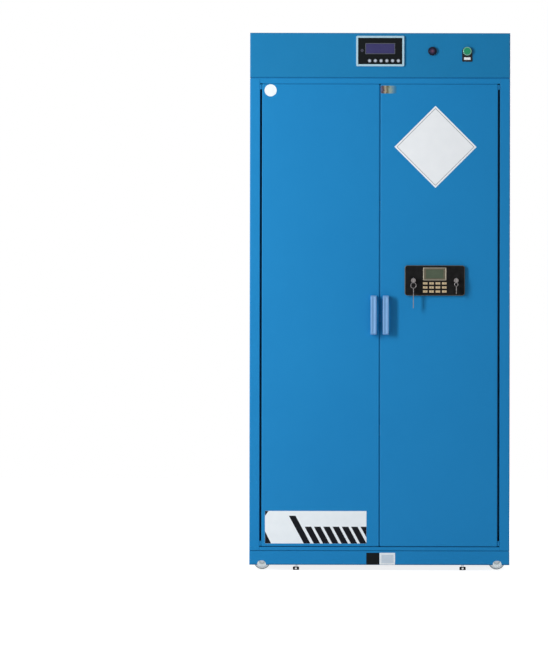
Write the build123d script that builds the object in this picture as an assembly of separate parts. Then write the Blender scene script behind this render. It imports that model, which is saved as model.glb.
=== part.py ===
from build123d import *
import os

# Chemical storage cabinet with two hinged doors, an electronic lock and a filter header.
# Millimetres. +X is right as seen from the front, +Y goes to the back, +Z is up.

# Body
WIDTH = 900.0
DEPTH = 500.0
BODY_H = 1632.0
HEADER_H = 155.0
PLINTH_H = 48.0
FLOOR_GAP = 20.0
SHEET = 1.2
PLINTH_SEAM = 2.0
HEADER_SEAM = 3.0
SEAM_INSET = 5.0
SEAM_RIM_W = 26.0
OUTER_BEND_R = 4.0
INNER_BEND_R = 2.0
REAR_FLANGE = 25.0
STILE_W = 35.0
TOP_RAIL_H = 17.0
SILL_H = 12.0
STOP_W = 17.0

# Doors
DOOR_T = 38.0
DOOR_PROUD = 3.0
DOOR_END_GAP = 2.0
HINGE_SLOT = 7.0
MEETING_GAP = 3.0
DOOR_EDGE_R = 3.0
DOOR_CORNER_R = 4.0
LINER_FIELD_INSET = 32.0
LINER_FIELD_D = 5.0
SEAL_T = 3.6
SEAL_W = 12.0
SEAL_CLEAR = 0.4

# Weld-on hinges at the ends of the door slots
KNUCKLE_CLEAR = 0.3
HINGE_PIN_D = 4.0
HINGE_RUN = 0.05
KNUCKLE_H = 8.0
KNUCKLE_GAP = 0.3
HINGE_END = 2.0
LEAF_T = 1.5
LEAF_D = 22.0
AXIS_BEHIND_FRONT = 1.5
PIN_END_CLEAR = 0.5

# Pull handles
HANDLE_W = 21.0
HANDLE_L = 136.0
HANDLE_REACH = 29.0
HANDLE_BAR_T = 9.0
HANDLE_LEG_T = 15.0
HANDLE_X = 21.0
HANDLE_UP = 800.0
HANDLE_OUTER_R = 9.0
HANDLE_INNER_R = 6.0
HANDLE_EDGE_R = 2.5
HANDLE_GROOVE_R = 9.0
HANDLE_GROOVE_D = 1.2

# Electronic lock
LOCK_X = 190.0
LOCK_UP = 920.0
LOCK_W = 208.0
LOCK_H = 105.0
LOCK_T = 12.0
LOCK_CORNER_R = 10.0
LOCK_EDGE_R = 2.5
LOCK_SCREEN_W = 81.0
LOCK_SCREEN_H = 45.0
LOCK_SCREEN_UP = 22.5
LOCK_SCREEN_D = 1.5
LOCK_COLUMNS = 4
LOCK_ROWS = 3
LOCK_KEY_W = 16.0
LOCK_KEY_H = 8.0
LOCK_KEY_RISE = 2.5
LOCK_KEY_SUNK = 4.0
LOCK_KEY_TRAVEL = 1.5
LOCK_KEY_CLEAR = 0.3
LOCK_KEY_PITCH_X = 22.0
LOCK_KEY_PITCH_Z = 14.0
LOCK_KEY_DOWN = 24.0
LOCK_KEY_R = 1.2
LOCK_CASE_W = 174.0
LOCK_CASE_H = 84.0
LOCK_CASE_D = 26.0
LOCK_WIRE_HOLE_D = 14.0

# Key cylinders, keys and the bolt
PLUG_D = 16.0
PLUG_RISE = 1.5
PLUG_DEEP = 14.0
PLUG_RUN = 0.1
PLUG_SPREAD = 148.0
KEY_T = 2.4
KEY_BOW_D = 22.0
KEY_NECK_L = 5.0
KEY_BLADE_H = 8.0
KEY_BLADE_IN = 10.0
KEY_FIT = 0.05
KEY_EYE_D = 5.0
KEY_EYE_DROP = 6.5
RING_LEFT_R = 9.5
RING_RIGHT_R = 6.0
RING_WIRE_D = 2.0
RING_CLEAR = 0.3
SPARE_LEFT_L = 72.0
SPARE_RIGHT_L = 30.0
BOLT_H = 20.0
BOLT_T = 9.0
BOLT_CLEAR = 0.4
BOLT_DOWN = 27.0
BOLT_BACK = 15.0
BOLT_TAIL = 60.0
BOLT_SETBACK = 1.5

# Header controls
CONTROL_RISE = 14.5
CASE_W = 166.0
CASE_H = 105.0
CASE_FRAME_W = 6.5
CASE_FRAME_RISE = 6.0
CASE_FACE_RISE = 3.5
CASE_CORNER_R = 4.0
CASE_BODY_W = 140.0
CASE_BODY_H = 80.0
CASE_BODY_D = 45.0
CASE_CUT_CLEAR = 0.5
SCREEN_W = 103.0
SCREEN_H = 38.0
SCREEN_UP = 8.5
SCREEN_D = 1.0
PAD_COUNT = 6
PAD_D = 12.0
PAD_PITCH = 19.9
PAD_X = 13.0
PAD_DOWN = 33.5
PAD_RISE = 1.5
PAD_SUNK = 4.0
PAD_TRAVEL = 1.0
PAD_CLEAR = 0.3
PAD_EDGE_R = 0.6
BUTTON_INSET = 149.0
LAMP_SPACING = 120.5
BEZEL_D = 30.0
BEZEL_FLOOR = 0.6
BEZEL_EDGE_R = 1.0
BARREL_D = 22.0
BARREL_L = 42.0
BARREL_CLEAR = 0.2
NUT_D = 28.0
NUT_T = 5.0
LENS_D = 22.0
LENS_RISE = 5.0
LENS_SUNK = 2.0
LENS_EDGE_R = 4.0
CAP_D = 22.6
CAP_CLEAR = 0.3
CAP_RISE = 4.0
CAP_SUNK = 2.8
CAP_TRAVEL = 3.5
CAP_EDGE_R = 1.0
LEGEND_W = 35.0
LEGEND_UP = 14.0
LEGEND_DOWN = 36.0
LEGEND_T = 2.0
LEGEND_CORNER_R = 3.0
LEGEND_TOP_R = 14.0

# Header box
HEADER_FRONT_D = 25.0
HEADER_SPLIT = 1.0
HEADER_FLANGE = 20.0
FAN_SIZE = 120.0
FAN_T = 38.0
FAN_WALL = 4.0
FAN_X = -150.0
FAN_HUB_D = 46.0
FAN_TIP_CLEAR = 3.0
FAN_BLADES = 7
FAN_BLADE_T = 2.0
FAN_BLADE_PITCH = 38.0
FAN_BLADE_CHORD = 26.0
FAN_BLADE_OVERLAP = 2.0
FAN_SHAFT_D = 6.0
FAN_SHAFT_RUN = 0.08
FAN_STRUT_W = 8.0
FAN_STRUT_T = 5.0
FAN_STRUTS = 4
FAN_HUB_GAP = 1.5
FAN_CORNER_R = 5.0
EXHAUST_SLOTS = 9
EXHAUST_SLOT_H = 6.0
EXHAUST_PITCH = 11.0
FILTER_W = 420.0
FILTER_D = 280.0
FILTER_H = 60.0
FILTER_CLEAR = 6.0
FILTER_RIM = 18.0
FILTER_RIM_D = 6.0
SUCTION_SLOTS = 7
SUCTION_SLOT_W = 300.0
SUCTION_SLOT_D = 14.0
SUCTION_PITCH = 30.0
INLET_INSET = 120.0
INLET_UP = 55.0
INLET_W = 48.0
INLET_H = 28.0
INLET_D = 30.0
INLET_RIM = 5.0
INLET_RIM_T = 2.5
INLET_WELL_W = 26.0
INLET_WELL_H = 17.0
INLET_WELL_D = 18.0
INLET_PIN_T = 2.0
INLET_PIN_W = 4.0
INLET_PIN_PITCH = 7.0
INLET_CLEAR = 0.3

# Back panel
VENT_SLOTS = 8
VENT_SLOT_W = 260.0
VENT_SLOT_H = 6.0
VENT_PITCH = 14.0
VENT_UP = 120.0
ANCHOR_HOLE_D = 9.0
ANCHOR_INSET = 150.0
ANCHOR_DOWN = 70.0

# Shelves
SHELF_COUNT = 3
SHELF_FIRST_UP = 395.0
SHELF_PITCH = 395.0
SHELF_LIP = 25.0
SHELF_FRONT = 70.0
SHELF_REAR = 30.0
SHELF_CORNER_R = 8.0
SHELF_SIDE_CLEAR = 2.5
UPRIGHT_W = 22.0
UPRIGHT_D = 10.0
UPRIGHT_T = 1.5
UPRIGHT_END = 50.0
UPRIGHT_INSET = 55.0
UPRIGHT_SLOT_W = 5.0
UPRIGHT_SLOT_H = 14.0
UPRIGHT_SLOT_PITCH = 50.0
CLIP_W = 16.0
CLIP_L = 18.0
CLIP_T = 3.0
CLIP_DROP = 14.0

# Plinth, casters and feet
PLINTH_TOP_T = 2.0
PLINTH_R = 4.0
NOTCH_W = 30.0
NOTCH_H = 15.0
NOTCH_R = 12.0
WHEEL_W = 20.0
WHEEL_EDGE_R = 3.0
WHEEL_DISH_D = 40.0
WHEEL_DISH_DEEP = 3.0
WHEEL_HUB_D = 20.0
WHEEL_LIFT = 0.5
WHEEL_INSET = 42.5
WHEEL_BACK = 78.0
TRAIL = 20.0
AXLE_D = 8.0
AXLE_RUN = 0.08
AXLE_NUT_D = 15.0
AXLE_NUT_T = 4.0
FORK_T = 2.5
FORK_SIDE_CLEAR = 1.5
FORK_TOP_CLEAR = 2.2
FORK_CHEEK_W = 24.0
FORK_CROWN_D = 44.0
CASTER_PLATE = 52.0
KINGPIN_D = 9.0
KINGPIN_RUN = 0.08
KINGPIN_HEAD_D = 14.0
KINGPIN_HEAD_T = 1.2
SWIVEL_GAP = 0.3
REAR_WHEEL_INSET = 70.0
REAR_WHEEL_BACK = 70.0
FOOT_INSET = 161.0
FOOT_BACK = 46.0
FOOT_PAD_D = 22.0
FOOT_PAD_H = 11.0
FOOT_PAD_R = 3.0
FOOT_STUD_D = 10.0
FOOT_RUN = 0.08
FOOT_NUT_D = 19.0
FOOT_NUT_H = 12.0
FOOT_TOP_CLEAR = 0.5
CUT_PAST = 2.0

# Levels and planes worked out from the sizes above
HALF = WIDTH / 2
Z_DECK = FLOOR_GAP + PLINTH_H
Z_BODY = Z_DECK + PLINTH_SEAM
Z_CEILING = Z_BODY + BODY_H
Z_HEADER = Z_CEILING + HEADER_SEAM
Z_TOP = Z_HEADER + HEADER_H
Z_SILL = Z_BODY + SILL_H
Z_RAIL = Z_CEILING - TOP_RAIL_H
Z_DOOR_LOW = Z_SILL + DOOR_END_GAP
Z_DOOR_HIGH = Z_RAIL - DOOR_END_GAP
FRAME_X = HALF - STILE_W
STOP_X = FRAME_X - STOP_W
DOOR_X = FRAME_X - HINGE_SLOT
MEET_X = MEETING_GAP / 2
AXIS_X = FRAME_X - HINGE_SLOT / 2
KEY_REACH = DOOR_PROUD + LOCK_T + PLUG_RISE + KEY_NECK_L + KEY_BOW_D
FRONT_REACH = max(KEY_REACH, DOOR_PROUD + HANDLE_REACH)
FRONT = (FRONT_REACH - DEPTH - INLET_RIM_T) / 2
BACK = FRONT + DEPTH
DOOR_FACE = FRONT - DOOR_PROUD
DOOR_REAR = DOOR_FACE + DOOR_T
STOP_Y = DOOR_REAR + SEAL_CLEAR + SEAL_T
AXIS_Y = FRONT + AXIS_BEHIND_FRONT
LOCK_FACE = DOOR_FACE - LOCK_T
BEZEL_RISE = CAP_SUNK + CAP_TRAVEL + CAP_CLEAR + BEZEL_FLOOR
FILTER_Y = FRONT + max(CASE_BODY_D, BARREL_L) + FILTER_CLEAR + FILTER_D / 2
HEADER_MIDDLE = (Z_HEADER + Z_TOP) / 2
FAN_Z = HEADER_MIDDLE
SHELF_X = HALF - SHEET - UPRIGHT_D - SHELF_SIDE_CLEAR
Z_CASTER = Z_DECK - PLINTH_TOP_T
Z_CROWN = Z_CASTER - 2 * FORK_T - SWIVEL_GAP
WHEEL_R = (Z_CROWN - FORK_TOP_CLEAR - WHEEL_LIFT) / 2
WHEEL_X = HALF - WHEEL_INSET
SWIVEL_X = WHEEL_X - TRAIL
REAR_WHEEL_X = HALF - REAR_WHEEL_INSET
FOOT_X = HALF - FOOT_INSET
ANCHOR_X = HALF - ANCHOR_INSET
BUTTON_X = HALF - BUTTON_INSET
LAMP_X = BUTTON_X - LAMP_SPACING
INLET_X = HALF - INLET_INSET
INLET_Z = Z_HEADER + INLET_UP
CONTROL_Z = HEADER_MIDDLE + CONTROL_RISE
HANDLE_Z = Z_DOOR_LOW + HANDLE_UP
LOCK_Z = Z_DOOR_LOW + LOCK_UP
VENT_Z = Z_BODY + VENT_UP
SHELF_FIRST_Z = Z_BODY + SHELF_FIRST_UP
SHELF_D = DEPTH - SHELF_FRONT - SHELF_REAR
FAN_BORE = FAN_SIZE - 2 * FAN_WALL
KNUCKLE_D = HINGE_SLOT - 2 * KNUCKLE_CLEAR


def block(x0, x1, y0, y1, z0, z1):
    """A box between two corners."""
    middle = Pos((x0 + x1) / 2, (y0 + y1) / 2, (z0 + z1) / 2)
    return middle * Box(abs(x1 - x0), abs(y1 - y0), abs(z1 - z0))


def rod_z(x, y, z0, z1, diameter):
    """An upright round bar."""
    return Pos(x, y, (z0 + z1) / 2) * Cylinder(diameter / 2, abs(z1 - z0))


def rod_y(x, z, y0, y1, diameter):
    """A round bar that runs from front to back."""
    return Pos(x, (y0 + y1) / 2, z) * Rot(90, 0, 0) * Cylinder(diameter / 2, abs(y1 - y0))


def rod_x(y, z, x0, x1, diameter):
    """A round bar that runs from left to right."""
    return Pos((x0 + x1) / 2, y, z) * Rot(0, 90, 0) * Cylinder(diameter / 2, abs(x1 - x0))


def mirror_x(shape):
    """The same piece on the other side of the cabinet."""
    return mirror(shape, about=Plane.YZ)


def save(name, *solids):
    """Write one node, which may hold several separate solids."""
    shape = solids[0] if len(solids) == 1 else Compound(children=list(solids))
    export_step(shape, f"parts/{name}.step")


def spaced(count, pitch):
    """Evenly spaced offsets about zero."""
    return [(i - (count - 1) / 2) * pitch for i in range(count)]


# Carcass

def side_panel():
    """Left side: rear flange, skin, stile, return and door stop, folded from one sheet."""
    path = [
        (-HALF + REAR_FLANGE, BACK - SHEET),
        (-HALF, BACK - SHEET),
        (-HALF, FRONT),
        (-FRAME_X, FRONT),
        (-FRAME_X, STOP_Y),
        (-STOP_X, STOP_Y),
    ]
    radii = [OUTER_BEND_R, OUTER_BEND_R, INNER_BEND_R, INNER_BEND_R]
    with BuildSketch() as section:
        with BuildLine():
            FilletPolyline(*path, radius=radii)
            offset(amount=SHEET, side=Side.LEFT)
        make_face()
    z0 = Z_BODY + SHEET
    return Pos(0, 0, z0) * extrude(section.sketch, Z_CEILING - SHEET - z0)


def back_panel():
    """Flat back with air slots near the floor and two wall anchor holes near the top."""
    edge = OUTER_BEND_R
    panel = block(-HALF + edge, HALF - edge, BACK - SHEET, BACK, Z_BODY + SHEET, Z_CEILING - SHEET)
    y0, y1 = BACK - SHEET - CUT_PAST, BACK + CUT_PAST
    half_slot = VENT_SLOT_W / 2
    for up in spaced(VENT_SLOTS, VENT_PITCH):
        z = VENT_Z + up
        panel -= block(-half_slot, half_slot, y0, y1, z - VENT_SLOT_H / 2, z + VENT_SLOT_H / 2)
    for side in (-1, 1):
        panel -= rod_y(side * ANCHOR_X, Z_CEILING - ANCHOR_DOWN, y0, y1, ANCHOR_HOLE_D)
    return panel


def seam_rim(z0, z1):
    """Inset ring that carries the next box and leaves the shadow seam."""
    x, y0, y1 = HALF - SEAM_INSET, FRONT + SEAM_INSET, BACK - SEAM_INSET
    ring = block(-x, x, y0, y1, z0, z1)
    inner = block(-x + SEAM_RIM_W, x - SEAM_RIM_W, y0 + SEAM_RIM_W, y1 - SEAM_RIM_W, z0, z1)
    return ring - inner


def deck(z0, z1):
    """Full width sheet that closes the body at the top or the bottom."""
    sheet = block(-HALF, HALF, FRONT, BACK, z0, z1)
    return fillet(sheet.edges().filter_by(Axis.Z), OUTER_BEND_R)


def fold_return(z0):
    """Level strip behind the rail or the sill, rounded to fit the folds of the side panels."""
    strip = block(-FRAME_X, FRAME_X, FRONT, STOP_Y, z0, z0 + SHEET)
    rear = strip.edges().filter_by(Axis.Z).group_by(Axis.Y)[-1]
    return fillet(rear, INNER_BEND_R)


def ceiling_panel():
    """Top sheet with the front rail, its return, the door stop and the suction slots."""
    sheet = deck(Z_CEILING - SHEET, Z_CEILING) + seam_rim(Z_CEILING, Z_HEADER)
    low = Z_CEILING - SHEET
    sheet += block(-FRAME_X, FRAME_X, FRONT, FRONT + SHEET, Z_RAIL, low)
    sheet += fold_return(Z_RAIL)
    sheet += block(-STOP_X, STOP_X, STOP_Y, STOP_Y + SHEET, Z_RAIL - STOP_W, Z_RAIL + SHEET)
    half_w, half_d = SUCTION_SLOT_W / 2, SUCTION_SLOT_D / 2
    for along in spaced(SUCTION_SLOTS, SUCTION_PITCH):
        y = FILTER_Y + along
        sheet -= block(-half_w, half_w, y - half_d, y + half_d, low - CUT_PAST, Z_HEADER)
    return sheet


def floor_pan():
    """Bottom sheet with the sill, its return and the lip that holds spills."""
    sheet = deck(Z_BODY, Z_BODY + SHEET) + seam_rim(Z_DECK, Z_BODY)
    high = Z_BODY + SHEET
    sheet += block(-FRAME_X, FRAME_X, FRONT, FRONT + SHEET, high, Z_SILL)
    sheet += fold_return(Z_SILL - SHEET)
    sheet += block(-STOP_X, STOP_X, STOP_Y, STOP_Y + SHEET, high, Z_SILL + STOP_W)
    return sheet


def door_seal():
    """Rubber frame on the door stop."""
    x1 = STOP_X + STOP_W / 2 + SEAL_W / 2
    z0 = Z_SILL + STOP_W / 2 - SEAL_W / 2
    z1 = Z_RAIL - STOP_W / 2 + SEAL_W / 2
    y0 = STOP_Y - SEAL_T
    ring = block(-x1, x1, y0, STOP_Y, z0, z1)
    return ring - block(-x1 + SEAL_W, x1 - SEAL_W, y0, STOP_Y, z0 + SEAL_W, z1 - SEAL_W)


# Hinges

def hinge_levels():
    """Lower end of each hinge pair: the frame half below, the door half above it."""
    pair = 2 * KNUCKLE_H + KNUCKLE_GAP
    return [Z_DOOR_LOW + HINGE_END, Z_DOOR_HIGH - HINGE_END - pair]


def frame_hinge(z):
    """Left frame half: leaf, knuckle and its fixed pin."""
    leaf = block(-FRAME_X, -FRAME_X + LEAF_T, AXIS_Y, AXIS_Y + LEAF_D, z, z + KNUCKLE_H)
    half = leaf + rod_z(-AXIS_X, AXIS_Y, z, z + KNUCKLE_H, KNUCKLE_D)
    pin_top = z + 2 * KNUCKLE_H + KNUCKLE_GAP - PIN_END_CLEAR
    return half + rod_z(-AXIS_X, AXIS_Y, z, pin_top, HINGE_PIN_D)


def door_hinge(z):
    """Left door half: leaf and bored knuckle, which turns on the pin."""
    z0 = z + KNUCKLE_H + KNUCKLE_GAP
    z1 = z0 + KNUCKLE_H
    half = block(-DOOR_X - LEAF_T, -DOOR_X, AXIS_Y, AXIS_Y + LEAF_D, z0, z1)
    half += rod_z(-AXIS_X, AXIS_Y, z0, z1, KNUCKLE_D)
    return half - rod_z(-AXIS_X, AXIS_Y, z0 - CUT_PAST, z1 + CUT_PAST, HINGE_PIN_D + 2 * HINGE_RUN)


# Doors, made as the left one

def door_blank(y1):
    """Door outline from the face to a rear plane, with rounded corners and front edges."""
    body = block(-DOOR_X, -MEET_X, DOOR_FACE, y1, Z_DOOR_LOW, Z_DOOR_HIGH)
    body = fillet(body.edges().filter_by(Axis.Y), DOOR_CORNER_R)
    return fillet(body.faces().sort_by(Axis.Y)[0].edges(), DOOR_EDGE_R)


def door_skin():
    """Folded pan with the bolt slot in its free edge and the two hinge halves."""
    blank = door_blank(DOOR_REAR - SHEET)
    pan = offset(blank, amount=-SHEET, openings=blank.faces().sort_by(Axis.Y)[-1])
    z = LOCK_Z - BOLT_DOWN
    half_h = BOLT_H / 2 + BOLT_CLEAR
    y0 = DOOR_FACE + BOLT_BACK - BOLT_T / 2 - BOLT_CLEAR
    y1 = DOOR_FACE + BOLT_BACK + BOLT_T / 2 + BOLT_CLEAR
    pan -= block(-MEET_X - SHEET - CUT_PAST, 0, y0, y1, z - half_h, z + half_h)
    for level in hinge_levels():
        pan += door_hinge(level)
    return pan


def door_right_skin():
    """The mirrored pan, with holes behind the lock plate."""
    pan = mirror_x(door_skin())
    y0, y1 = DOOR_FACE - CUT_PAST, DOOR_FACE + SHEET + CUT_PAST
    for x in plug_places():
        pan -= rod_y(x, LOCK_Z, y0, y1, PLUG_D + 2 * PLUG_RUN)
    return pan - rod_y(LOCK_X, LOCK_Z + LOCK_SCREEN_UP, y0, y1, LOCK_WIRE_HOLE_D)


def door_liner():
    """Inner sheet with a pressed field that stiffens the door."""
    y0, y1 = DOOR_REAR - SHEET, DOOR_REAR
    plate = block(-DOOR_X, -MEET_X, y0, y1, Z_DOOR_LOW, Z_DOOR_HIGH)
    plate = fillet(plate.edges().filter_by(Axis.Y), DOOR_CORNER_R)
    inset = LINER_FIELD_INSET
    x0, x1 = -DOOR_X + inset, -MEET_X - inset
    z0, z1 = Z_DOOR_LOW + inset, Z_DOOR_HIGH - inset
    field = block(x0, x1, y0, y1 + LINER_FIELD_D, z0, z1)
    field = fillet(field.edges().filter_by(Axis.Y), DOOR_CORNER_R)
    hollow_top = y1 + LINER_FIELD_D - SHEET
    hollow = block(x0 + SHEET, x1 - SHEET, y0, hollow_top, z0 + SHEET, z1 - SHEET)
    return plate + field - hollow


def handle(x):
    """Pull handle: a bar on two legs with a finger gap, grooved along its front."""
    y0 = DOOR_FACE - HANDLE_REACH
    bar = block(x - HANDLE_W / 2, x + HANDLE_W / 2, y0, DOOR_FACE,
                HANDLE_Z - HANDLE_L / 2, HANDLE_Z + HANDLE_L / 2)
    front_ends = bar.edges().filter_by(Axis.X).group_by(Axis.Y)[0]
    bar = fillet(front_ends, HANDLE_OUTER_R)
    gap_half = HANDLE_L / 2 - HANDLE_LEG_T
    gap = block(x - HANDLE_W, x + HANDLE_W, y0 + HANDLE_BAR_T, DOOR_FACE + HANDLE_INNER_R,
                HANDLE_Z - gap_half, HANDLE_Z + gap_half)
    gap = fillet(gap.edges().filter_by(Axis.X).group_by(Axis.Y)[0], HANDLE_INNER_R)
    sides = bar.faces().filter_by(Axis.X)
    bar = fillet((sides[0].edges() + sides[1].edges()).filter_by(
        lambda edge: edge.center().Y < DOOR_FACE - HANDLE_EDGE_R / 2), HANDLE_EDGE_R)
    groove_y = y0 - HANDLE_GROOVE_R + HANDLE_GROOVE_D
    groove = rod_z(x, groove_y, HANDLE_Z - HANDLE_L, HANDLE_Z + HANDLE_L, 2 * HANDLE_GROOVE_R)
    return bar - gap - groove


# Electronic lock on the right door

def plug_places():
    """Middle of each key cylinder."""
    return [LOCK_X - PLUG_SPREAD / 2, LOCK_X + PLUG_SPREAD / 2]


def lock_key_places():
    """Middle of each key of the keypad, row by row from the top left."""
    across = spaced(LOCK_COLUMNS, LOCK_KEY_PITCH_X)
    down = reversed(spaced(LOCK_ROWS, LOCK_KEY_PITCH_Z))
    return [(LOCK_X + dx, LOCK_Z - LOCK_KEY_DOWN + dz) for dz in down for dx in across]


def lock_plate():
    """Front plate with a screen recess, key pockets and cylinder bores."""
    plate = block(LOCK_X - LOCK_W / 2, LOCK_X + LOCK_W / 2, LOCK_FACE, DOOR_FACE,
                  LOCK_Z - LOCK_H / 2, LOCK_Z + LOCK_H / 2)
    plate = fillet(plate.edges().filter_by(Axis.Y), LOCK_CORNER_R)
    plate = fillet(plate.faces().sort_by(Axis.Y)[0].edges(), LOCK_EDGE_R)
    screen_z = LOCK_Z + LOCK_SCREEN_UP
    plate -= block(LOCK_X - LOCK_SCREEN_W / 2, LOCK_X + LOCK_SCREEN_W / 2,
                   LOCK_FACE - CUT_PAST, LOCK_FACE + LOCK_SCREEN_D,
                   screen_z - LOCK_SCREEN_H / 2, screen_z + LOCK_SCREEN_H / 2)
    half_w = LOCK_KEY_W / 2 + LOCK_KEY_CLEAR
    half_h = LOCK_KEY_H / 2 + LOCK_KEY_CLEAR
    pocket_y = LOCK_FACE + LOCK_KEY_SUNK + LOCK_KEY_TRAVEL + LOCK_KEY_CLEAR
    for x, z in lock_key_places():
        plate -= block(x - half_w, x + half_w, LOCK_FACE - CUT_PAST, pocket_y, z - half_h, z + half_h)
    for x in plug_places():
        plate -= rod_y(x, LOCK_Z, LOCK_FACE - CUT_PAST, DOOR_FACE + CUT_PAST, PLUG_D + 2 * PLUG_RUN)
    return plate


def lock_key(x, z):
    """One key of the keypad."""
    cap = block(x - LOCK_KEY_W / 2, x + LOCK_KEY_W / 2, LOCK_FACE - LOCK_KEY_RISE,
                LOCK_FACE + LOCK_KEY_SUNK, z - LOCK_KEY_H / 2, z + LOCK_KEY_H / 2)
    return fillet(cap.faces().sort_by(Axis.Y)[0].edges(), LOCK_KEY_R)


def plug_end():
    """Rear end of the key cylinders, inside the lock case."""
    return DOOR_FACE + PLUG_DEEP


def bolt_span():
    """Left end, right end and height of the bolt at rest, drawn back into the right door."""
    tip = MEET_X + BOLT_SETBACK
    tail = LOCK_X - LOCK_CASE_W / 2 + BOLT_TAIL
    return tip, tail, LOCK_Z - BOLT_DOWN


def lock_case():
    """Case behind the skin, bored for the cylinders and slotted for the bolt."""
    y0 = DOOR_FACE + SHEET
    x0 = LOCK_X - LOCK_CASE_W / 2
    case = block(x0, LOCK_X + LOCK_CASE_W / 2, y0, y0 + LOCK_CASE_D,
                 LOCK_Z - LOCK_CASE_H / 2, LOCK_Z + LOCK_CASE_H / 2)
    for x in plug_places():
        case -= rod_y(x, LOCK_Z, y0 - CUT_PAST, plug_end() + PLUG_RUN, PLUG_D + 2 * PLUG_RUN)
    tip, tail, z = bolt_span()
    y = DOOR_FACE + BOLT_BACK
    half_h, half_t = BOLT_H / 2 + BOLT_CLEAR, BOLT_T / 2 + BOLT_CLEAR
    return case - block(x0 - CUT_PAST, tail + BOLT_CLEAR, y - half_t, y + half_t, z - half_h, z + half_h)


def lock_bolt():
    """Flat bolt that shoots into the slot of the left door."""
    tip, tail, z = bolt_span()
    y = DOOR_FACE + BOLT_BACK
    return block(tip, tail, y - BOLT_T / 2, y + BOLT_T / 2, z - BOLT_H / 2, z + BOLT_H / 2)


def key_plug(x):
    """Turning cylinder with its keyway."""
    face = LOCK_FACE - PLUG_RISE
    plug = rod_y(x, LOCK_Z, face, plug_end(), PLUG_D)
    half_t, half_h = KEY_T / 2 + KEY_FIT, KEY_BLADE_H / 2 + KEY_FIT
    return plug - block(x - half_t, x + half_t, face - CUT_PAST, face + KEY_BLADE_IN + KEY_FIT,
                        LOCK_Z - half_h, LOCK_Z + half_h)


def bow_middle():
    """Middle of the inserted key's bow, in front of its cylinder."""
    return LOCK_FACE - PLUG_RISE - KEY_NECK_L - KEY_BOW_D / 2


def eye_height():
    """Height of the eye in the inserted key's bow."""
    return LOCK_Z - KEY_EYE_DROP


def inserted_key(x):
    """Key in its cylinder: a round flat bow with an eye, and the blade."""
    y = bow_middle()
    bow = rod_x(y, LOCK_Z, x - KEY_T / 2, x + KEY_T / 2, KEY_BOW_D)
    blade = block(x - KEY_T / 2, x + KEY_T / 2, y, LOCK_FACE - PLUG_RISE + KEY_BLADE_IN,
                  LOCK_Z - KEY_BLADE_H / 2, LOCK_Z + KEY_BLADE_H / 2)
    return bow + blade - rod_x(y, eye_height(), x - KEY_T, x + KEY_T, KEY_EYE_D)


def ring_top():
    """Middle of the ring's wire where it hangs in the eye."""
    return eye_height() - KEY_EYE_D / 2 + RING_WIRE_D / 2 + RING_CLEAR


def key_ring(x, radius):
    """Wire ring that hangs in the eye, parallel to the door."""
    ring = Rot(90, 0, 0) * Torus(radius, RING_WIRE_D / 2)
    return Pos(x, bow_middle(), ring_top() - radius) * ring


def hanging_key(x, radius, length):
    """Spare key that hangs in the ring, edge on to the door."""
    y = bow_middle()
    wire_z = ring_top() - 2 * radius
    eye_z = wire_z + RING_WIRE_D / 2 + RING_CLEAR - KEY_EYE_D / 2
    bow_z = eye_z - KEY_EYE_DROP
    low = bow_z + KEY_BOW_D / 2 - length
    bow = rod_x(y, bow_z, x - KEY_T / 2, x + KEY_T / 2, KEY_BOW_D)
    blade = block(x - KEY_T / 2, x + KEY_T / 2, y - KEY_BLADE_H / 2, y + KEY_BLADE_H / 2, low, bow_z)
    return bow + blade - rod_x(y, eye_z, x - KEY_T, x + KEY_T, KEY_EYE_D)


# Header and its controls

def header_front():
    """Folded front with the cut-outs for the controller, the lamp and the button."""
    blank = block(-HALF, HALF, FRONT, FRONT + HEADER_FRONT_D, Z_HEADER, Z_TOP)
    blank = fillet(blank.faces().sort_by(Axis.Y)[0].edges(), OUTER_BEND_R)
    pan = offset(blank, amount=-SHEET, openings=blank.faces().sort_by(Axis.Y)[-1])
    y0, y1 = FRONT - CUT_PAST, FRONT + SHEET + CUT_PAST
    half_w = CASE_BODY_W / 2 + CASE_CUT_CLEAR
    half_h = CASE_BODY_H / 2 + CASE_CUT_CLEAR
    pan -= block(-half_w, half_w, y0, y1, CONTROL_Z - half_h, CONTROL_Z + half_h)
    for x in (LAMP_X, BUTTON_X):
        pan -= rod_y(x, CONTROL_Z, y0, y1, BARREL_D + 2 * BARREL_CLEAR)
    return pan


def header_cover():
    """Roof, sides, back and foot flanges of the header, with exhaust slots and the inlet cut-out."""
    y0 = FRONT + HEADER_FRONT_D + HEADER_SPLIT
    shell = block(-HALF, HALF, y0, BACK, Z_HEADER, Z_TOP)
    shell = fillet(shell.edges().filter_by(Axis.Y).group_by(Axis.Z)[-1], OUTER_BEND_R)
    inner = block(-HALF + SHEET, HALF - SHEET, y0, BACK - SHEET, Z_HEADER, Z_TOP - SHEET)
    inner = fillet(inner.edges().filter_by(Axis.Y).group_by(Axis.Z)[-1], OUTER_BEND_R - SHEET)
    shell -= inner
    shell += block(-HALF, HALF, BACK - HEADER_FLANGE, BACK, Z_HEADER, Z_HEADER + SHEET)
    for side in (-1, 1):
        shell += block(side * (HALF - HEADER_FLANGE), side * HALF, y0, BACK, Z_HEADER, Z_HEADER + SHEET)
    cut0, cut1 = BACK - SHEET - CUT_PAST, BACK + CUT_PAST
    half_slot = FAN_BORE / 2
    for up in spaced(EXHAUST_SLOTS, EXHAUST_PITCH):
        z = FAN_Z + up
        shell -= block(FAN_X - half_slot, FAN_X + half_slot, cut0, cut1,
                       z - EXHAUST_SLOT_H / 2, z + EXHAUST_SLOT_H / 2)
    half_w, half_h = INLET_W / 2 + INLET_CLEAR, INLET_H / 2 + INLET_CLEAR
    return shell - block(INLET_X - half_w, INLET_X + half_w, cut0, cut1,
                         INLET_Z - half_h, INLET_Z + half_h)


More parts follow.
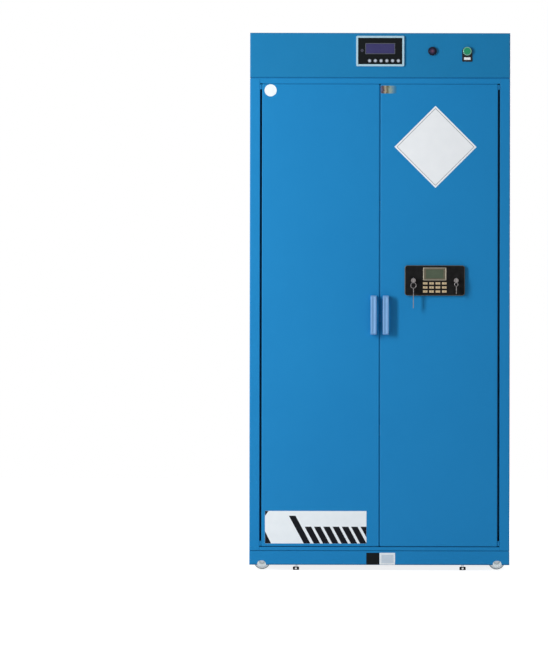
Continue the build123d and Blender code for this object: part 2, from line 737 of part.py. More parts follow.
def pad_places():
    """Middle of each round button of the controller."""
    return [PAD_X + dx for dx in spaced(PAD_COUNT, PAD_PITCH)]


def controller_case():
    """Framed case with a sunk face, a screen recess and a bore for each button."""
    rim = block(-CASE_W / 2, CASE_W / 2, FRONT - CASE_FRAME_RISE, FRONT,
                CONTROL_Z - CASE_H / 2, CONTROL_Z + CASE_H / 2)
    rim = fillet(rim.edges().filter_by(Axis.Y), CASE_CORNER_R)
    face_y = FRONT - CASE_FACE_RISE
    face_w, face_h = CASE_W / 2 - CASE_FRAME_W, CASE_H / 2 - CASE_FRAME_W
    rim -= block(-face_w, face_w, FRONT - CASE_FRAME_RISE - CUT_PAST, face_y,
                 CONTROL_Z - face_h, CONTROL_Z + face_h)
    case = rim + block(-CASE_BODY_W / 2, CASE_BODY_W / 2, FRONT, FRONT + CASE_BODY_D,
                       CONTROL_Z - CASE_BODY_H / 2, CONTROL_Z + CASE_BODY_H / 2)
    screen_z = CONTROL_Z + SCREEN_UP
    case -= block(-SCREEN_W / 2, SCREEN_W / 2, face_y - CUT_PAST, face_y + SCREEN_D,
                  screen_z - SCREEN_H / 2, screen_z + SCREEN_H / 2)
    bore_end = face_y + PAD_SUNK + PAD_TRAVEL + PAD_CLEAR
    for x in pad_places():
        case -= rod_y(x, CONTROL_Z - PAD_DOWN, face_y - CUT_PAST, bore_end, PAD_D + 2 * PAD_CLEAR)
    return case


def controller_pad(x):
    """One round button of the controller."""
    face_y = FRONT - CASE_FACE_RISE
    cap = rod_y(x, CONTROL_Z - PAD_DOWN, face_y - PAD_RISE, face_y + PAD_SUNK, PAD_D)
    return fillet(cap.faces().sort_by(Axis.Y)[0].edges(), PAD_EDGE_R)


def panel_barrel(x, seat):
    """Bezel, threaded barrel and nut of a lamp or push button in the header front."""
    bezel = rod_y(x, CONTROL_Z, seat - BEZEL_RISE, seat, BEZEL_D)
    bezel = fillet(bezel.faces().sort_by(Axis.Y)[0].edges(), BEZEL_EDGE_R)
    barrel = rod_y(x, CONTROL_Z, seat, FRONT + BARREL_L, BARREL_D)
    nut = rod_y(x, CONTROL_Z, FRONT + SHEET, FRONT + SHEET + NUT_T, NUT_D)
    return bezel + barrel + nut


def alarm_lamp():
    """Lamp body, and the domed lens seated in its bezel."""
    face = FRONT - BEZEL_RISE
    seat = face + LENS_SUNK
    body = panel_barrel(LAMP_X, FRONT) - rod_y(LAMP_X, CONTROL_Z, face - CUT_PAST, seat, LENS_D)
    lens = rod_y(LAMP_X, CONTROL_Z, face - LENS_RISE, seat, LENS_D)
    return body, fillet(lens.faces().sort_by(Axis.Y)[0].edges(), LENS_EDGE_R)


def button_face():
    """Front of the push button's bezel, which stands on the legend holder."""
    return FRONT - LEGEND_T - BEZEL_RISE


def switch_bezel():
    """Push button body with the bore for its cap, and the legend holder under its bezel."""
    face = button_face()
    bore_end = face + CAP_SUNK + CAP_TRAVEL + CAP_CLEAR
    body = panel_barrel(BUTTON_X, FRONT - LEGEND_T)
    body -= rod_y(BUTTON_X, CONTROL_Z, face - CUT_PAST, bore_end, CAP_D + 2 * CAP_CLEAR)
    holder = block(BUTTON_X - LEGEND_W / 2, BUTTON_X + LEGEND_W / 2, FRONT - LEGEND_T, FRONT,
                   CONTROL_Z - LEGEND_DOWN, CONTROL_Z + LEGEND_UP)
    holder = fillet(holder.edges().filter_by(Axis.Y).group_by(Axis.Z)[-1], LEGEND_TOP_R)
    holder = fillet(holder.edges().filter_by(Axis.Y).group_by(Axis.Z)[0], LEGEND_CORNER_R)
    hole_d = BARREL_D + 2 * BARREL_CLEAR
    return body, holder - rod_y(BUTTON_X, CONTROL_Z, FRONT - LEGEND_T - CUT_PAST, FRONT, hole_d)


def power_button():
    """Round cap of the push button."""
    cap = rod_y(BUTTON_X, CONTROL_Z, button_face() - CAP_RISE, button_face() + CAP_SUNK, CAP_D)
    return fillet(cap.faces().sort_by(Axis.Y)[0].edges(), CAP_EDGE_R)


def fan_planes():
    """Front of the fan housing, both ends of the rotor, and the rear of the housing."""
    rear = BACK - SHEET
    front = rear - FAN_T
    return front, front + FAN_STRUT_T + FAN_HUB_GAP, rear - FAN_HUB_GAP, rear


def fan_housing():
    """Square frame with a round bore, struts that carry the hub, and the fixed shaft."""
    front, rotor0, rotor1, rear = fan_planes()
    frame = block(FAN_X - FAN_SIZE / 2, FAN_X + FAN_SIZE / 2, front, rear,
                  FAN_Z - FAN_SIZE / 2, FAN_Z + FAN_SIZE / 2)
    frame = fillet(frame.edges().filter_by(Axis.Y), FAN_CORNER_R)
    frame -= rod_y(FAN_X, FAN_Z, front - CUT_PAST, rear + CUT_PAST, FAN_BORE)
    hub = rod_y(FAN_X, FAN_Z, front, front + FAN_STRUT_T, FAN_HUB_D)
    for i in range(FAN_STRUTS):
        arm = Box(FAN_SIZE / 2, FAN_STRUT_T, FAN_STRUT_W)
        arm = Pos(FAN_SIZE / 4, front + FAN_STRUT_T / 2, 0) * arm
        hub += Pos(FAN_X, 0, FAN_Z) * Rot(0, 360 / FAN_STRUTS * i, 0) * arm
    return frame + hub + rod_y(FAN_X, FAN_Z, front, rotor1, FAN_SHAFT_D)


def fan_rotor():
    """Hub with pitched blades, bored for the shaft."""
    front, rotor0, rotor1, rear = fan_planes()
    middle = (rotor0 + rotor1) / 2
    tip = FAN_BORE / 2 - FAN_TIP_CLEAR
    root = FAN_HUB_D / 2 - FAN_BLADE_OVERLAP
    rotor = rod_y(FAN_X, FAN_Z, rotor0, rotor1, FAN_HUB_D)
    for i in range(FAN_BLADES):
        blade = Rot(FAN_BLADE_PITCH, 0, 0) * Box(tip - root, FAN_BLADE_CHORD, FAN_BLADE_T)
        blade = Rot(0, 360 / FAN_BLADES * i, 0) * Pos((tip + root) / 2, 0, 0) * blade
        rotor += Pos(FAN_X, middle, FAN_Z) * blade
    shaft_d = FAN_SHAFT_D + 2 * FAN_SHAFT_RUN
    return rotor - rod_y(FAN_X, FAN_Z, rotor0 - CUT_PAST, rotor1 + CUT_PAST, shaft_d)


def carbon_filter():
    """Filter cassette over the suction slots, with a sunk top behind its rim."""
    z1 = Z_CEILING + FILTER_H
    y0, y1 = FILTER_Y - FILTER_D / 2, FILTER_Y + FILTER_D / 2
    cassette = block(-FILTER_W / 2, FILTER_W / 2, y0, y1, Z_CEILING, z1)
    x = FILTER_W / 2 - FILTER_RIM
    return cassette - block(-x, x, y0 + FILTER_RIM, y1 - FILTER_RIM, z1 - FILTER_RIM_D, z1 + CUT_PAST)


def power_inlet():
    """Mains inlet in the back of the header: rim, body, well and three pins."""
    half_w, half_h = INLET_W / 2, INLET_H / 2
    body = block(INLET_X - half_w, INLET_X + half_w, BACK - INLET_D, BACK,
                 INLET_Z - half_h, INLET_Z + half_h)
    outer_w, outer_h = half_w + INLET_RIM, half_h + INLET_RIM
    rim = block(INLET_X - outer_w, INLET_X + outer_w, BACK, BACK + INLET_RIM_T,
                INLET_Z - outer_h, INLET_Z + outer_h)
    inlet = body + fillet(rim.edges().filter_by(Axis.Y), INLET_RIM)
    floor_y = BACK + INLET_RIM_T - INLET_WELL_D
    inlet -= block(INLET_X - INLET_WELL_W / 2, INLET_X + INLET_WELL_W / 2, floor_y,
                   BACK + INLET_RIM_T + CUT_PAST, INLET_Z - INLET_WELL_H / 2, INLET_Z + INLET_WELL_H / 2)
    for dx in spaced(3, INLET_PIN_PITCH):
        x = INLET_X + dx
        inlet += block(x - INLET_PIN_T / 2, x + INLET_PIN_T / 2, floor_y, BACK,
                       INLET_Z - INLET_PIN_W / 2, INLET_Z + INLET_PIN_W / 2)
    return inlet


# Shelves

def shelf_levels():
    """Underside of each shelf."""
    return [SHELF_FIRST_Z + i * SHELF_PITCH for i in range(SHELF_COUNT)]


def shelf(z):
    """Spill tray with a lip all round."""
    y0 = FRONT + SHELF_FRONT
    tray = block(-SHELF_X, SHELF_X, y0, y0 + SHELF_D, z, z + SHELF_LIP)
    tray = fillet(tray.edges().filter_by(Axis.Z), SHELF_CORNER_R)
    well = block(-SHELF_X + SHEET, SHELF_X - SHEET, y0 + SHEET, y0 + SHELF_D - SHEET,
                 z + SHEET, z + SHELF_LIP + CUT_PAST)
    return tray - fillet(well.edges().filter_by(Axis.Z), SHELF_CORNER_R - SHEET)


def upright_places():
    """Middle of the front and the rear uprights."""
    y0 = FRONT + SHELF_FRONT
    return [y0 + UPRIGHT_INSET, y0 + SHELF_D - UPRIGHT_INSET]


def upright(y):
    """Slotted channel on the left side panel."""
    x0, x1 = -HALF + SHEET, -HALF + SHEET + UPRIGHT_D
    z0 = Z_BODY + SHEET + UPRIGHT_END
    z1 = Z_CEILING - SHEET - UPRIGHT_END
    half = UPRIGHT_W / 2
    channel = block(x0, x1, y - half, y + half, z0, z1)
    channel -= block(x0, x1 - UPRIGHT_T, y - half + UPRIGHT_T, y + half - UPRIGHT_T, z0, z1)
    count = int((z1 - z0) / UPRIGHT_SLOT_PITCH) - 1
    slots = [
        block(x1 - UPRIGHT_T - CUT_PAST, x1 + CUT_PAST, y - UPRIGHT_SLOT_W / 2, y + UPRIGHT_SLOT_W / 2,
              z - UPRIGHT_SLOT_H / 2, z + UPRIGHT_SLOT_H / 2)
        for z in [(z0 + z1) / 2 + up for up in spaced(count, UPRIGHT_SLOT_PITCH)]
    ]
    return channel - slots


def shelf_clip(y, z):
    """Clip on a left upright, with a tongue under the shelf."""
    x0 = -HALF + SHEET + UPRIGHT_D
    half = CLIP_W / 2
    tongue = block(x0, x0 + CLIP_L, y - half, y + half, z - CLIP_T, z)
    return tongue + block(x0, x0 + CLIP_T, y - half, y + half, z - CLIP_DROP, z)


def shelf_supports():
    """Four uprights and a clip at each corner of each shelf."""
    left = [upright(y) for y in upright_places()]
    left += [shelf_clip(y, z) for z in shelf_levels() for y in upright_places()]
    return left + [mirror_x(piece) for piece in left]


# Plinth, casters and feet

def plinth():
    """Folded base with arched notches at the casters and weld nuts for the feet."""
    base = block(-HALF, HALF, FRONT, BACK, FLOOR_GAP, Z_DECK)
    base = fillet(base.edges().filter_by(Axis.Z), PLINTH_R)
    room = block(-HALF + SHEET, HALF - SHEET, FRONT + SHEET, BACK - SHEET,
                 FLOOR_GAP - CUT_PAST, Z_CASTER)
    base -= fillet(room.edges().filter_by(Axis.Z), PLINTH_R - SHEET)
    for side in (-1, 1):
        x = side * WHEEL_X
        arch = block(x - NOTCH_W / 2, x + NOTCH_W / 2, FRONT - CUT_PAST, FRONT + SHEET + CUT_PAST,
                     FLOOR_GAP - CUT_PAST, FLOOR_GAP + NOTCH_H)
        base -= fillet(arch.edges().filter_by(Axis.Y).group_by(Axis.Z)[-1], NOTCH_R)
        x, y = side * FOOT_X, FRONT + FOOT_BACK
        base += rod_z(x, y, Z_CASTER - FOOT_NUT_H, Z_CASTER, FOOT_NUT_D)
        base -= rod_z(x, y, FLOOR_GAP, Z_DECK + CUT_PAST, FOOT_STUD_D + 2 * FOOT_RUN)
    return base


def swivel_bracket():
    """Left front caster plate with its headed kingpin."""
    x, y = -SWIVEL_X, FRONT + WHEEL_BACK
    half = CASTER_PLATE / 2
    plate = block(x - half, x + half, y - half, y + half, Z_CASTER - FORK_T, Z_CASTER)
    head_top = Z_CROWN - SWIVEL_GAP
    plate += rod_z(x, y, head_top, Z_CASTER, KINGPIN_D)
    return plate + rod_z(x, y, head_top - KINGPIN_HEAD_T, head_top, KINGPIN_HEAD_D)


def front_fork():
    """Left front fork: crown, cheeks, axle and its nuts. The axle runs from front to back."""
    x, y = -SWIVEL_X, FRONT + WHEEL_BACK
    wheel_x, axle_z = -WHEEL_X, WHEEL_LIFT + WHEEL_R
    inner = WHEEL_W / 2 + FORK_SIDE_CLEAR
    outer = inner + FORK_T
    z1 = Z_CROWN + FORK_T
    fork = rod_z(x, y, Z_CROWN, z1, FORK_CROWN_D)
    fork += block(wheel_x - FORK_CHEEK_W / 2, x, y - outer, y + outer, Z_CROWN, z1)
    for side in (-1, 1):
        cheek0, cheek1 = y + side * inner, y + side * outer
        fork += block(wheel_x - FORK_CHEEK_W / 2, wheel_x + FORK_CHEEK_W / 2, cheek0, cheek1, axle_z, z1)
        fork += rod_y(wheel_x, axle_z, cheek0, cheek1, FORK_CHEEK_W)
        fork += rod_y(wheel_x, axle_z, cheek1, cheek1 + side * AXLE_NUT_T, AXLE_NUT_D)
    fork += rod_y(wheel_x, axle_z, y - outer, y + outer, AXLE_D)
    return fork - rod_z(x, y, Z_CROWN - CUT_PAST, z1 + CUT_PAST, KINGPIN_D + 2 * KINGPIN_RUN)


def wheel_blank():
    """Wheel about the Y axis at the origin, dished on both sides."""
    wheel = Rot(90, 0, 0) * Cylinder(WHEEL_R, WHEEL_W)
    wheel = fillet(wheel.edges(), WHEEL_EDGE_R)
    for side in (-1, 1):
        face = side * WHEEL_W / 2
        dish = rod_y(0, 0, face - side * WHEEL_DISH_DEEP, face + side * CUT_PAST, WHEEL_DISH_D)
        wheel -= dish - rod_y(0, 0, face - side * WHEEL_DISH_DEEP, face + side * CUT_PAST, WHEEL_HUB_D)
    return wheel


def front_wheel():
    """Left front wheel, bored for the fork's axle."""
    wheel = wheel_blank() - rod_y(0, 0, -WHEEL_W, WHEEL_W, AXLE_D + 2 * AXLE_RUN)
    return Pos(-WHEEL_X, FRONT + WHEEL_BACK, WHEEL_LIFT + WHEEL_R) * wheel


def rear_bracket():
    """Left rear caster: plate and two cheeks bored for the axle."""
    x, y = -REAR_WHEEL_X, BACK - REAR_WHEEL_BACK
    half = CASTER_PLATE / 2
    bracket = block(x - half, x + half, y - half, y + half, Z_CASTER - FORK_T, Z_CASTER)
    inner = WHEEL_W / 2 + FORK_SIDE_CLEAR
    for side in (-1, 1):
        cheek0, cheek1 = x + side * inner, x + side * (inner + FORK_T)
        bracket += block(cheek0, cheek1, y - FORK_CHEEK_W / 2, y + FORK_CHEEK_W / 2, WHEEL_R, Z_CASTER)
        bracket += rod_x(y, WHEEL_R, cheek0, cheek1, FORK_CHEEK_W)
    return bracket - rod_x(y, WHEEL_R, x - half, x + half, AXLE_D + 2 * AXLE_RUN)


def rear_wheels():
    """Both rear wheels on their shared axle."""
    y = BACK - REAR_WHEEL_BACK
    end = REAR_WHEEL_X + WHEEL_W / 2 + FORK_SIDE_CLEAR + FORK_T + AXLE_NUT_T
    pair = rod_x(y, WHEEL_R, -end, end, AXLE_D)
    for side in (-1, 1):
        pair += Pos(side * REAR_WHEEL_X, y, WHEEL_R) * Rot(0, 0, 90) * wheel_blank()
    return pair


def levelling_foot():
    """Left front foot: pad and stud."""
    x, y = -FOOT_X, FRONT + FOOT_BACK
    pad = rod_z(x, y, 0, FOOT_PAD_H, FOOT_PAD_D)
    pad = fillet(pad.faces().sort_by(Axis.Z)[-1].edges(), FOOT_PAD_R)
    return pad + rod_z(x, y, 0, Z_DECK - FOOT_TOP_CLEAR, FOOT_STUD_D)


os.makedirs("parts", exist_ok=True)

left_panel = side_panel()
save("side_panel_left", left_panel)
save("side_panel_right", mirror_x(left_panel))
save("back_panel", back_panel())
save("ceiling_panel", ceiling_panel())
save("floor_pan", floor_pan())
save("door_seal", door_seal())

left_hinges = [frame_hinge(z) for z in hinge_levels()]
save("frame_hinges", *left_hinges, *[mirror_x(half) for half in left_hinges])

save("door_left_skin", door_skin())
save("door_left_liner", door_liner())
save("handle_left", handle(-HANDLE_X))
save("door_right_skin", door_right_skin())
save("door_right_liner", mirror_x(door_liner()))
save("handle_right", handle(HANDLE_X))

save("lock_body", lock_plate(), lock_case())
save("lock_bolt", lock_bolt())
for number, place in enumerate(lock_key_places(), 1):
    save(f"lock_key_{number}", lock_key(*place))
plug_left, plug_right = plug_places()
save("key_left", key_plug(plug_left), inserted_key(plug_left))
save("key_right", key_plug(plug_right), inserted_key(plug_right))
left_spare = hanging_key(plug_left, RING_LEFT_R, SPARE_LEFT_L)
save("spare_key_left", key_ring(plug_left, RING_LEFT_R), left_spare)
right_spare = hanging_key(plug_right, RING_RIGHT_R, SPARE_RIGHT_L)
save("spare_key_right", key_ring(plug_right, RING_RIGHT_R), right_spare)

save("header_front", header_front())
save("header_cover", header_cover())
save("controller_case", controller_case())
for number, x in enumerate(pad_places(), 1):
    save(f"controller_button_{number}", controller_pad(x))
save("alarm_lamp", *alarm_lamp())
save("switch_bezel", *switch_bezel())
save("power_button", power_button())
save("fan_housing", fan_housing())
save("fan_rotor", fan_rotor())
save("carbon_filter", carbon_filter())
save("power_inlet", power_inlet())

for number, z in enumerate(shelf_levels(), 1):
    save(f"shelf_{number}", shelf(z))
save("shelf_supports", *shelf_supports())

save("plinth", plinth())
swivel, rigid = swivel_bracket(), rear_bracket()
save("caster_brackets", swivel, mirror_x(swivel), rigid, mirror_x(rigid))
fork, wheel = front_fork(), front_wheel()
save("caster_fork_left", fork)
save("caster_fork_right", mirror_x(fork))
save("caster_wheel_left", wheel)
save("caster_wheel_right", mirror_x(wheel))
save("rear_wheels", rear_wheels())
foot = levelling_foot()
save("foot_left", foot)
save("foot_right", mirror_x(foot))
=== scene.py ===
# %% [markdown]
# # A chemical storage cabinet, dressed for a photograph
#
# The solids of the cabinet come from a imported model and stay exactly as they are. This lesson gives
# them their finishes and adds what is too thin or too small to be a solid: screens, stickers, screws,
# digits on the keys and a finger guard. Every added piece rides on one of the model's bodies, so it
# moves with its door, key or button.

# %% Load the solids
import math

import bpy
from mathutils import Euler, Matrix, Vector


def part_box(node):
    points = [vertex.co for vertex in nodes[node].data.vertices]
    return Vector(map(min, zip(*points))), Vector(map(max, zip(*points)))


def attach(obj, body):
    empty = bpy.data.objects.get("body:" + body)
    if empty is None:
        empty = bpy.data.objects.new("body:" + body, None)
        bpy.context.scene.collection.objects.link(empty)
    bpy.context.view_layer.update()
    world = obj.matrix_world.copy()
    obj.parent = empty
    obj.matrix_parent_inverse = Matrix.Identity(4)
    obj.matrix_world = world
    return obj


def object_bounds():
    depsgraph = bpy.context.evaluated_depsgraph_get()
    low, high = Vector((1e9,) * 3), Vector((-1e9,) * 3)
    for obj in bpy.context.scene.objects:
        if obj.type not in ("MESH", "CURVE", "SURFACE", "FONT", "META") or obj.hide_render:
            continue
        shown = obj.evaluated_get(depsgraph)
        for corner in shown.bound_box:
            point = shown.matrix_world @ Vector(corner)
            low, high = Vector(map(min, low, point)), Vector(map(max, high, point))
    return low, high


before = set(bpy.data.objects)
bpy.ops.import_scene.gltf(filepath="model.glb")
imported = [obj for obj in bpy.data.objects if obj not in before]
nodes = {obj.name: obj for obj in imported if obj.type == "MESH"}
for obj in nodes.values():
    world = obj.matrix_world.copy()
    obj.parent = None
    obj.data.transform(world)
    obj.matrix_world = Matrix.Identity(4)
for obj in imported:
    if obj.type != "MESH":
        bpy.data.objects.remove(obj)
cad_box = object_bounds()
MM = 0.001


def mm(*sizes):
    """Millimetres as a tuple of metres."""
    return tuple(size * MM for size in sizes)


def middle_of(name):
    """The middle of a solid's box."""
    low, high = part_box(name)
    return (low + high) / 2


# %% [markdown]
# ## Writing nodes as sentences
#
# A finish is a small sum: a colour here, a little roughness there, a mask between them. Written as node
# calls it is hard to read, so one small class stands for a socket and understands plus, minus, times
# and comparisons. Every sum written with it adds its own Math nodes.

# %% Sockets that can be added up
class Wire:
    """One output socket that can be used in a sum."""

    def __init__(self, tree, socket):
        self.tree = tree
        self.socket = socket

    def maths(self, operation, first, second=0.0):
        return self.tree.add("ShaderNodeMath", {"operation": operation}, {0: first, 1: second})

    def __add__(self, other):
        return self.maths("ADD", self, other)

    def __radd__(self, other):
        return self.maths("ADD", other, self)

    def __sub__(self, other):
        return self.maths("SUBTRACT", self, other)

    def __rsub__(self, other):
        return self.maths("SUBTRACT", other, self)

    def __mul__(self, other):
        return self.maths("MULTIPLY", self, other)

    def __rmul__(self, other):
        return self.maths("MULTIPLY", other, self)

    def __truediv__(self, other):
        return self.maths("DIVIDE", self, other)

    def __rtruediv__(self, other):
        return self.maths("DIVIDE", other, self)

    def __lt__(self, other):
        return self.maths("LESS_THAN", self, other)

    def __gt__(self, other):
        return self.maths("GREATER_THAN", self, other)

    def __abs__(self):
        return self.maths("ABSOLUTE", self)

    def most(self, other):
        return self.maths("MAXIMUM", self, other)

    def least(self, other):
        return self.maths("MINIMUM", self, other)

    def root(self):
        return self.maths("SQRT", self)

    def zigzag(self, pitch):
        """Runs from 0 to 1 over one pitch and back over the next."""
        return self.maths("PINGPONG", self, pitch) / pitch


print("sums ready")

# %% [markdown]
# ## A tree that grows nodes
#
# All other nodes come from one method: the type first, then the settings, then the sockets. Shader trees
# and Geometry Nodes trees are both node trees, so both use it. A finish is such a tree with shortcuts for
# what every material of the cabinet needs. It reads Object coordinates, which are metres on the cabinet,
# so a grain has the same size on a door and on a hinge.

# %% Trees and finishes
class Tree:
    """Adds nodes to one tree: settings first, then the values or links of its sockets."""

    def __init__(self, tree):
        self.tree = tree

    def add(self, kind, settings=None, sockets=None, out=0):
        node = self.tree.nodes.new(kind)
        for key, value in (settings or {}).items():
            if key == "stops":
                while len(node.color_ramp.elements) < len(value):
                    node.color_ramp.elements.new(0.5)
                for stop, (place, colour) in zip(node.color_ramp.elements, value):
                    stop.position = place
                    stop.color = colour
            else:
                setattr(node, key, value)
        for key, value in (sockets or {}).items():
            for part in value if isinstance(value, list) else [value]:
                if isinstance(part, Wire):
                    self.tree.links.new(part.socket, node.inputs[key])
                else:
                    node.inputs[key].default_value = part
        return Wire(self, node.outputs[out]) if len(node.outputs) else node


class Finish(Tree):
    """One material, with shortcuts for what every finish here needs."""

    def __init__(self, name):
        self.material = bpy.data.materials.new(name)
        self.material.use_nodes = True
        super().__init__(self.material.node_tree)
        self.tree.nodes.clear()
        self.place = self.add("ShaderNodeTexCoord", out="Object")

    def axes(self, centre=(0.0, 0.0, 0.0)):
        """Distances from a centre along x, y and z."""
        parts = [self.add("ShaderNodeSeparateXYZ", None, {0: self.place}, i) for i in range(3)]
        return [part - middle if middle else part for part, middle in zip(parts, centre)]

    def away_from(self, centre, across=(0, 2)):
        """Distance from a line through the centre, measured in the two axes across it."""
        parts = self.axes(centre)
        first, second = [parts[index] for index in across]
        return (first * first + second * second).root()

    def noise(self, scale, detail=2.0, stretch=(1.0, 1.0, 1.0)):
        """Soft spots, about as many to the metre as the scale says."""
        where = self.add("ShaderNodeMapping", None, {"Vector": self.place, "Scale": stretch})
        return self.add("ShaderNodeTexNoise", None, {"Vector": where, "Scale": scale, "Detail": detail})

    def mix(self, mask, first, second):
        return self.add("ShaderNodeMix", {"data_type": "RGBA"}, {0: mask, 6: first, 7: second}, 2)

    def ramp(self, along, *stops):
        return self.add("ShaderNodeValToRGB", {"stops": stops}, {"Fac": along})

    def bump(self, height, strength, distance):
        return self.add("ShaderNodeBump", None,
                        {"Height": height, "Strength": strength, "Distance": distance})

    def surface(self, **sockets):
        named = {key.replace("_", " "): value for key, value in sockets.items()}
        shader = self.add("ShaderNodeBsdfPrincipled", None, named)
        self.add("ShaderNodeOutputMaterial", None, {"Surface": shader})
        return self.material


print("node kit ready")

# %% [markdown]
# ## Colours, and who wears them
#
# A colour read from a screen is bent for the eye, and a shader wants it straight. One function turns the
# first into the second. Another gives a finished material to the solids that it names.

# %% Colours and solids
def tone(red, green, blue):
    """A screen colour of 0 to 255 as the linear colour that a shader takes."""
    def linear(value):
        value /= 255
        return value / 12.92 if value <= 0.04045 else ((value + 0.055) / 1.055) ** 2.4
    return (linear(red), linear(green), linear(blue), 1.0)


def wear(material, *names):
    """Gives a finish to the solids of these names."""
    for name in names:
        nodes[name].data.materials.clear()
        nodes[name].data.materials.append(material)


print("middle grey as a shader takes it:", round(tone(128, 128, 128)[0], 3))

# %% [markdown]
# ## Powder coat
#
# The sheet metal is sprayed with powder and baked. Close up, such a coat is never flat: it has the fine
# ripple that painters call orange peel, and its tone drifts a little over a large panel. Along the foot of
# the plinth it is scuffed pale by mops, and its lowest few millimetres are darker: painted shade under the
# plinth's bottom edge. A picture of paint could be laid over the panels, but noises at several scales need no
# seams. The header wears a darker copy of the blue coat, painted shade for the less lit top of the cabinet,
# and the shelves are grey.

# %% Powder coat finishes
SCUFF_TOP = 36.0 * MM
# Below this height the coat is darkened as painted shade under the plinth's bottom edge.
PAINTED_SHADE_TOP = 23.5 * MM


def powder_coat(name, light, dark, scuff, foot_painted_shade):
    coat = Finish(name)
    z = coat.axes()[2]
    drift = coat.noise(2.6, 3.0)
    cloud = coat.noise(19.0, 4.0)
    peel = coat.noise(520.0, 1.0)
    scratch = coat.noise(95.0, 5.0, (0.35, 0.35, 1.0))
    low_down = (SCUFF_TOP - z).most(0.0) * 30.0
    worn = (scratch - 0.60).most(0.0) * low_down * 3.0
    colour = coat.mix(drift * 0.8 + cloud * 0.2, dark, light)
    # Painted shade: the foot of the plinth is darkened below that height.
    coat_with_painted_shade = coat.mix((z < PAINTED_SHADE_TOP) * 0.55, colour, foot_painted_shade)
    return coat.surface(
        Base_Color=coat.mix(worn.least(0.35), coat_with_painted_shade, scuff),
        Roughness=0.36 + cloud * 0.10 + peel * 0.06,
        Specular_IOR_Level=0.12,
        Normal=coat.bump(peel, 0.10, 0.6 * MM),
    )


# The pale scuff is real wear; the dark foot colour is painted shade.
blue_scuff_and_shade = {"scuff": tone(110, 165, 200), "foot_painted_shade": tone(30, 74, 100)}
blue_coat = powder_coat("blue_powder_coat", tone(30, 131, 190), tone(24, 123, 183), **blue_scuff_and_shade)
# The header wears a darker copy of the blue coat: painted shade for the less lit top of the cabinet.
header_shade_coat = powder_coat("header_powder_coat", tone(29, 124, 176), tone(23, 117, 170), **blue_scuff_and_shade)
grey_coat = powder_coat("grey_powder_coat", tone(205, 210, 214), tone(196, 202, 207),
                        tone(225, 225, 225), tone(150, 152, 154))
wear(blue_coat, "side_panel_left", "side_panel_right", "back_panel", "ceiling_panel", "floor_pan",
     "plinth", "door_left_skin", "door_right_skin", "door_left_liner", "door_right_liner",
     "frame_hinges")
wear(header_shade_coat, "header_front", "header_cover")
wear(grey_coat, "shelf_1", "shelf_2", "shelf_3")
print("powder coats:", blue_coat.name, header_shade_coat.name, grey_coat.name)

# %% [markdown]
# ## Moulded plastics and rubber
#
# Plastic takes the texture of its mould: a fine spark-eroded grain on black cases, hardly any on glossy
# caps. One recipe serves them all, with the grain's size and depth as inputs, and a slow drift in colour
# and gloss where hands have polished it. The controller's frame is painted silver, and thin paint shows
# the mould's grain too.

# %% Plastic finishes
def moulded(name, colour, shade, roughness, grain, depth, gloss=0.2):
    plastic = Finish(name)
    drift = plastic.noise(38.0, 3.0)
    fine = plastic.noise(grain, 2.0)
    return plastic.surface(
        Base_Color=plastic.mix(drift, shade, colour),
        Roughness=roughness + fine * 0.12 - drift * 0.06,
        Specular_IOR_Level=gloss,
        Normal=plastic.bump(fine, depth, 0.4 * MM),
    )


handle_blue = moulded("lavender_blue_plastic", tone(120, 166, 214), tone(106, 154, 204),
                      roughness=0.30, grain=900.0, depth=0.06, gloss=0.3)
case_black = moulded("case_black_plastic", tone(18, 18, 20), tone(10, 10, 12),
                     roughness=0.42, grain=1100.0, depth=0.20, gloss=0.12)
keypad_cream = moulded("keypad_cream_plastic", tone(206, 186, 152), tone(184, 162, 128),
                       roughness=0.38, grain=1300.0, depth=0.08)
cap_green = moulded("cap_green_plastic", tone(22, 150, 104), tone(12, 130, 90),
                    roughness=0.22, grain=900.0, depth=0.03, gloss=0.3)
filter_grey = moulded("filter_cassette_plastic", tone(128, 128, 130), tone(110, 110, 112),
                      roughness=0.55, grain=700.0, depth=0.15)
seal_black = moulded("door_seal_rubber", tone(34, 34, 35), tone(26, 26, 27),
                     roughness=0.62, grain=800.0, depth=0.25, gloss=0.3)
case_silver = moulded("controller_silver_paint", tone(178, 210, 224), tone(164, 198, 214),
                      roughness=0.34, grain=1000.0, depth=0.05)
lock_keys = [f"lock_key_{number}" for number in range(1, 13)]
wear(handle_blue, "handle_left", "handle_right")
wear(case_black, "fan_housing", "fan_rotor")
wear(keypad_cream, *lock_keys)
wear(cap_green, "power_button")
wear(filter_grey, "carbon_filter")
wear(seal_black, "door_seal")
wear(case_silver, "controller_case")
print("plastics on handles, fan, filter, seal, controller and", len(lock_keys), "lock keys")

# %% [markdown]
# ## Metals
#
# Keys and their cylinders are nickel plated and bright, the lock's bolt, the casters' brackets and the
# shelf uprights are zinc plated with the mottled spangle of that coating. Both are fully metallic, and
# only roughness and a little colour tell them apart. A noise stretched along one axis leaves the faint
# lines of polishing.

# %% Metal finishes
def plated(name, colour, shade, roughness, spangle, stretch):
    metal = Finish(name)
    mottle = metal.noise(spangle, 3.0)
    lines = metal.noise(300.0, 3.0, stretch)
    return metal.surface(
        Base_Color=metal.mix(mottle, shade, colour),
        Metallic=1.0,
        Roughness=roughness + mottle * 0.12 + lines * 0.10,
        Normal=metal.bump(lines, 0.05, 0.3 * MM),
    )


nickel = plated("nickel_plate", tone(158, 153, 152), tone(112, 108, 108),
                roughness=0.18, spangle=160.0, stretch=(6.0, 6.0, 0.6))
zinc = plated("zinc_plate", tone(196, 199, 204), tone(168, 172, 179),
              roughness=0.30, spangle=210.0, stretch=(2.0, 2.0, 2.0))
wear(nickel, "key_left", "key_right", "spare_key_left", "spare_key_right")
wear(zinc, "lock_bolt", "shelf_supports", "caster_brackets")
print("metals:", nickel.name, zinc.name)

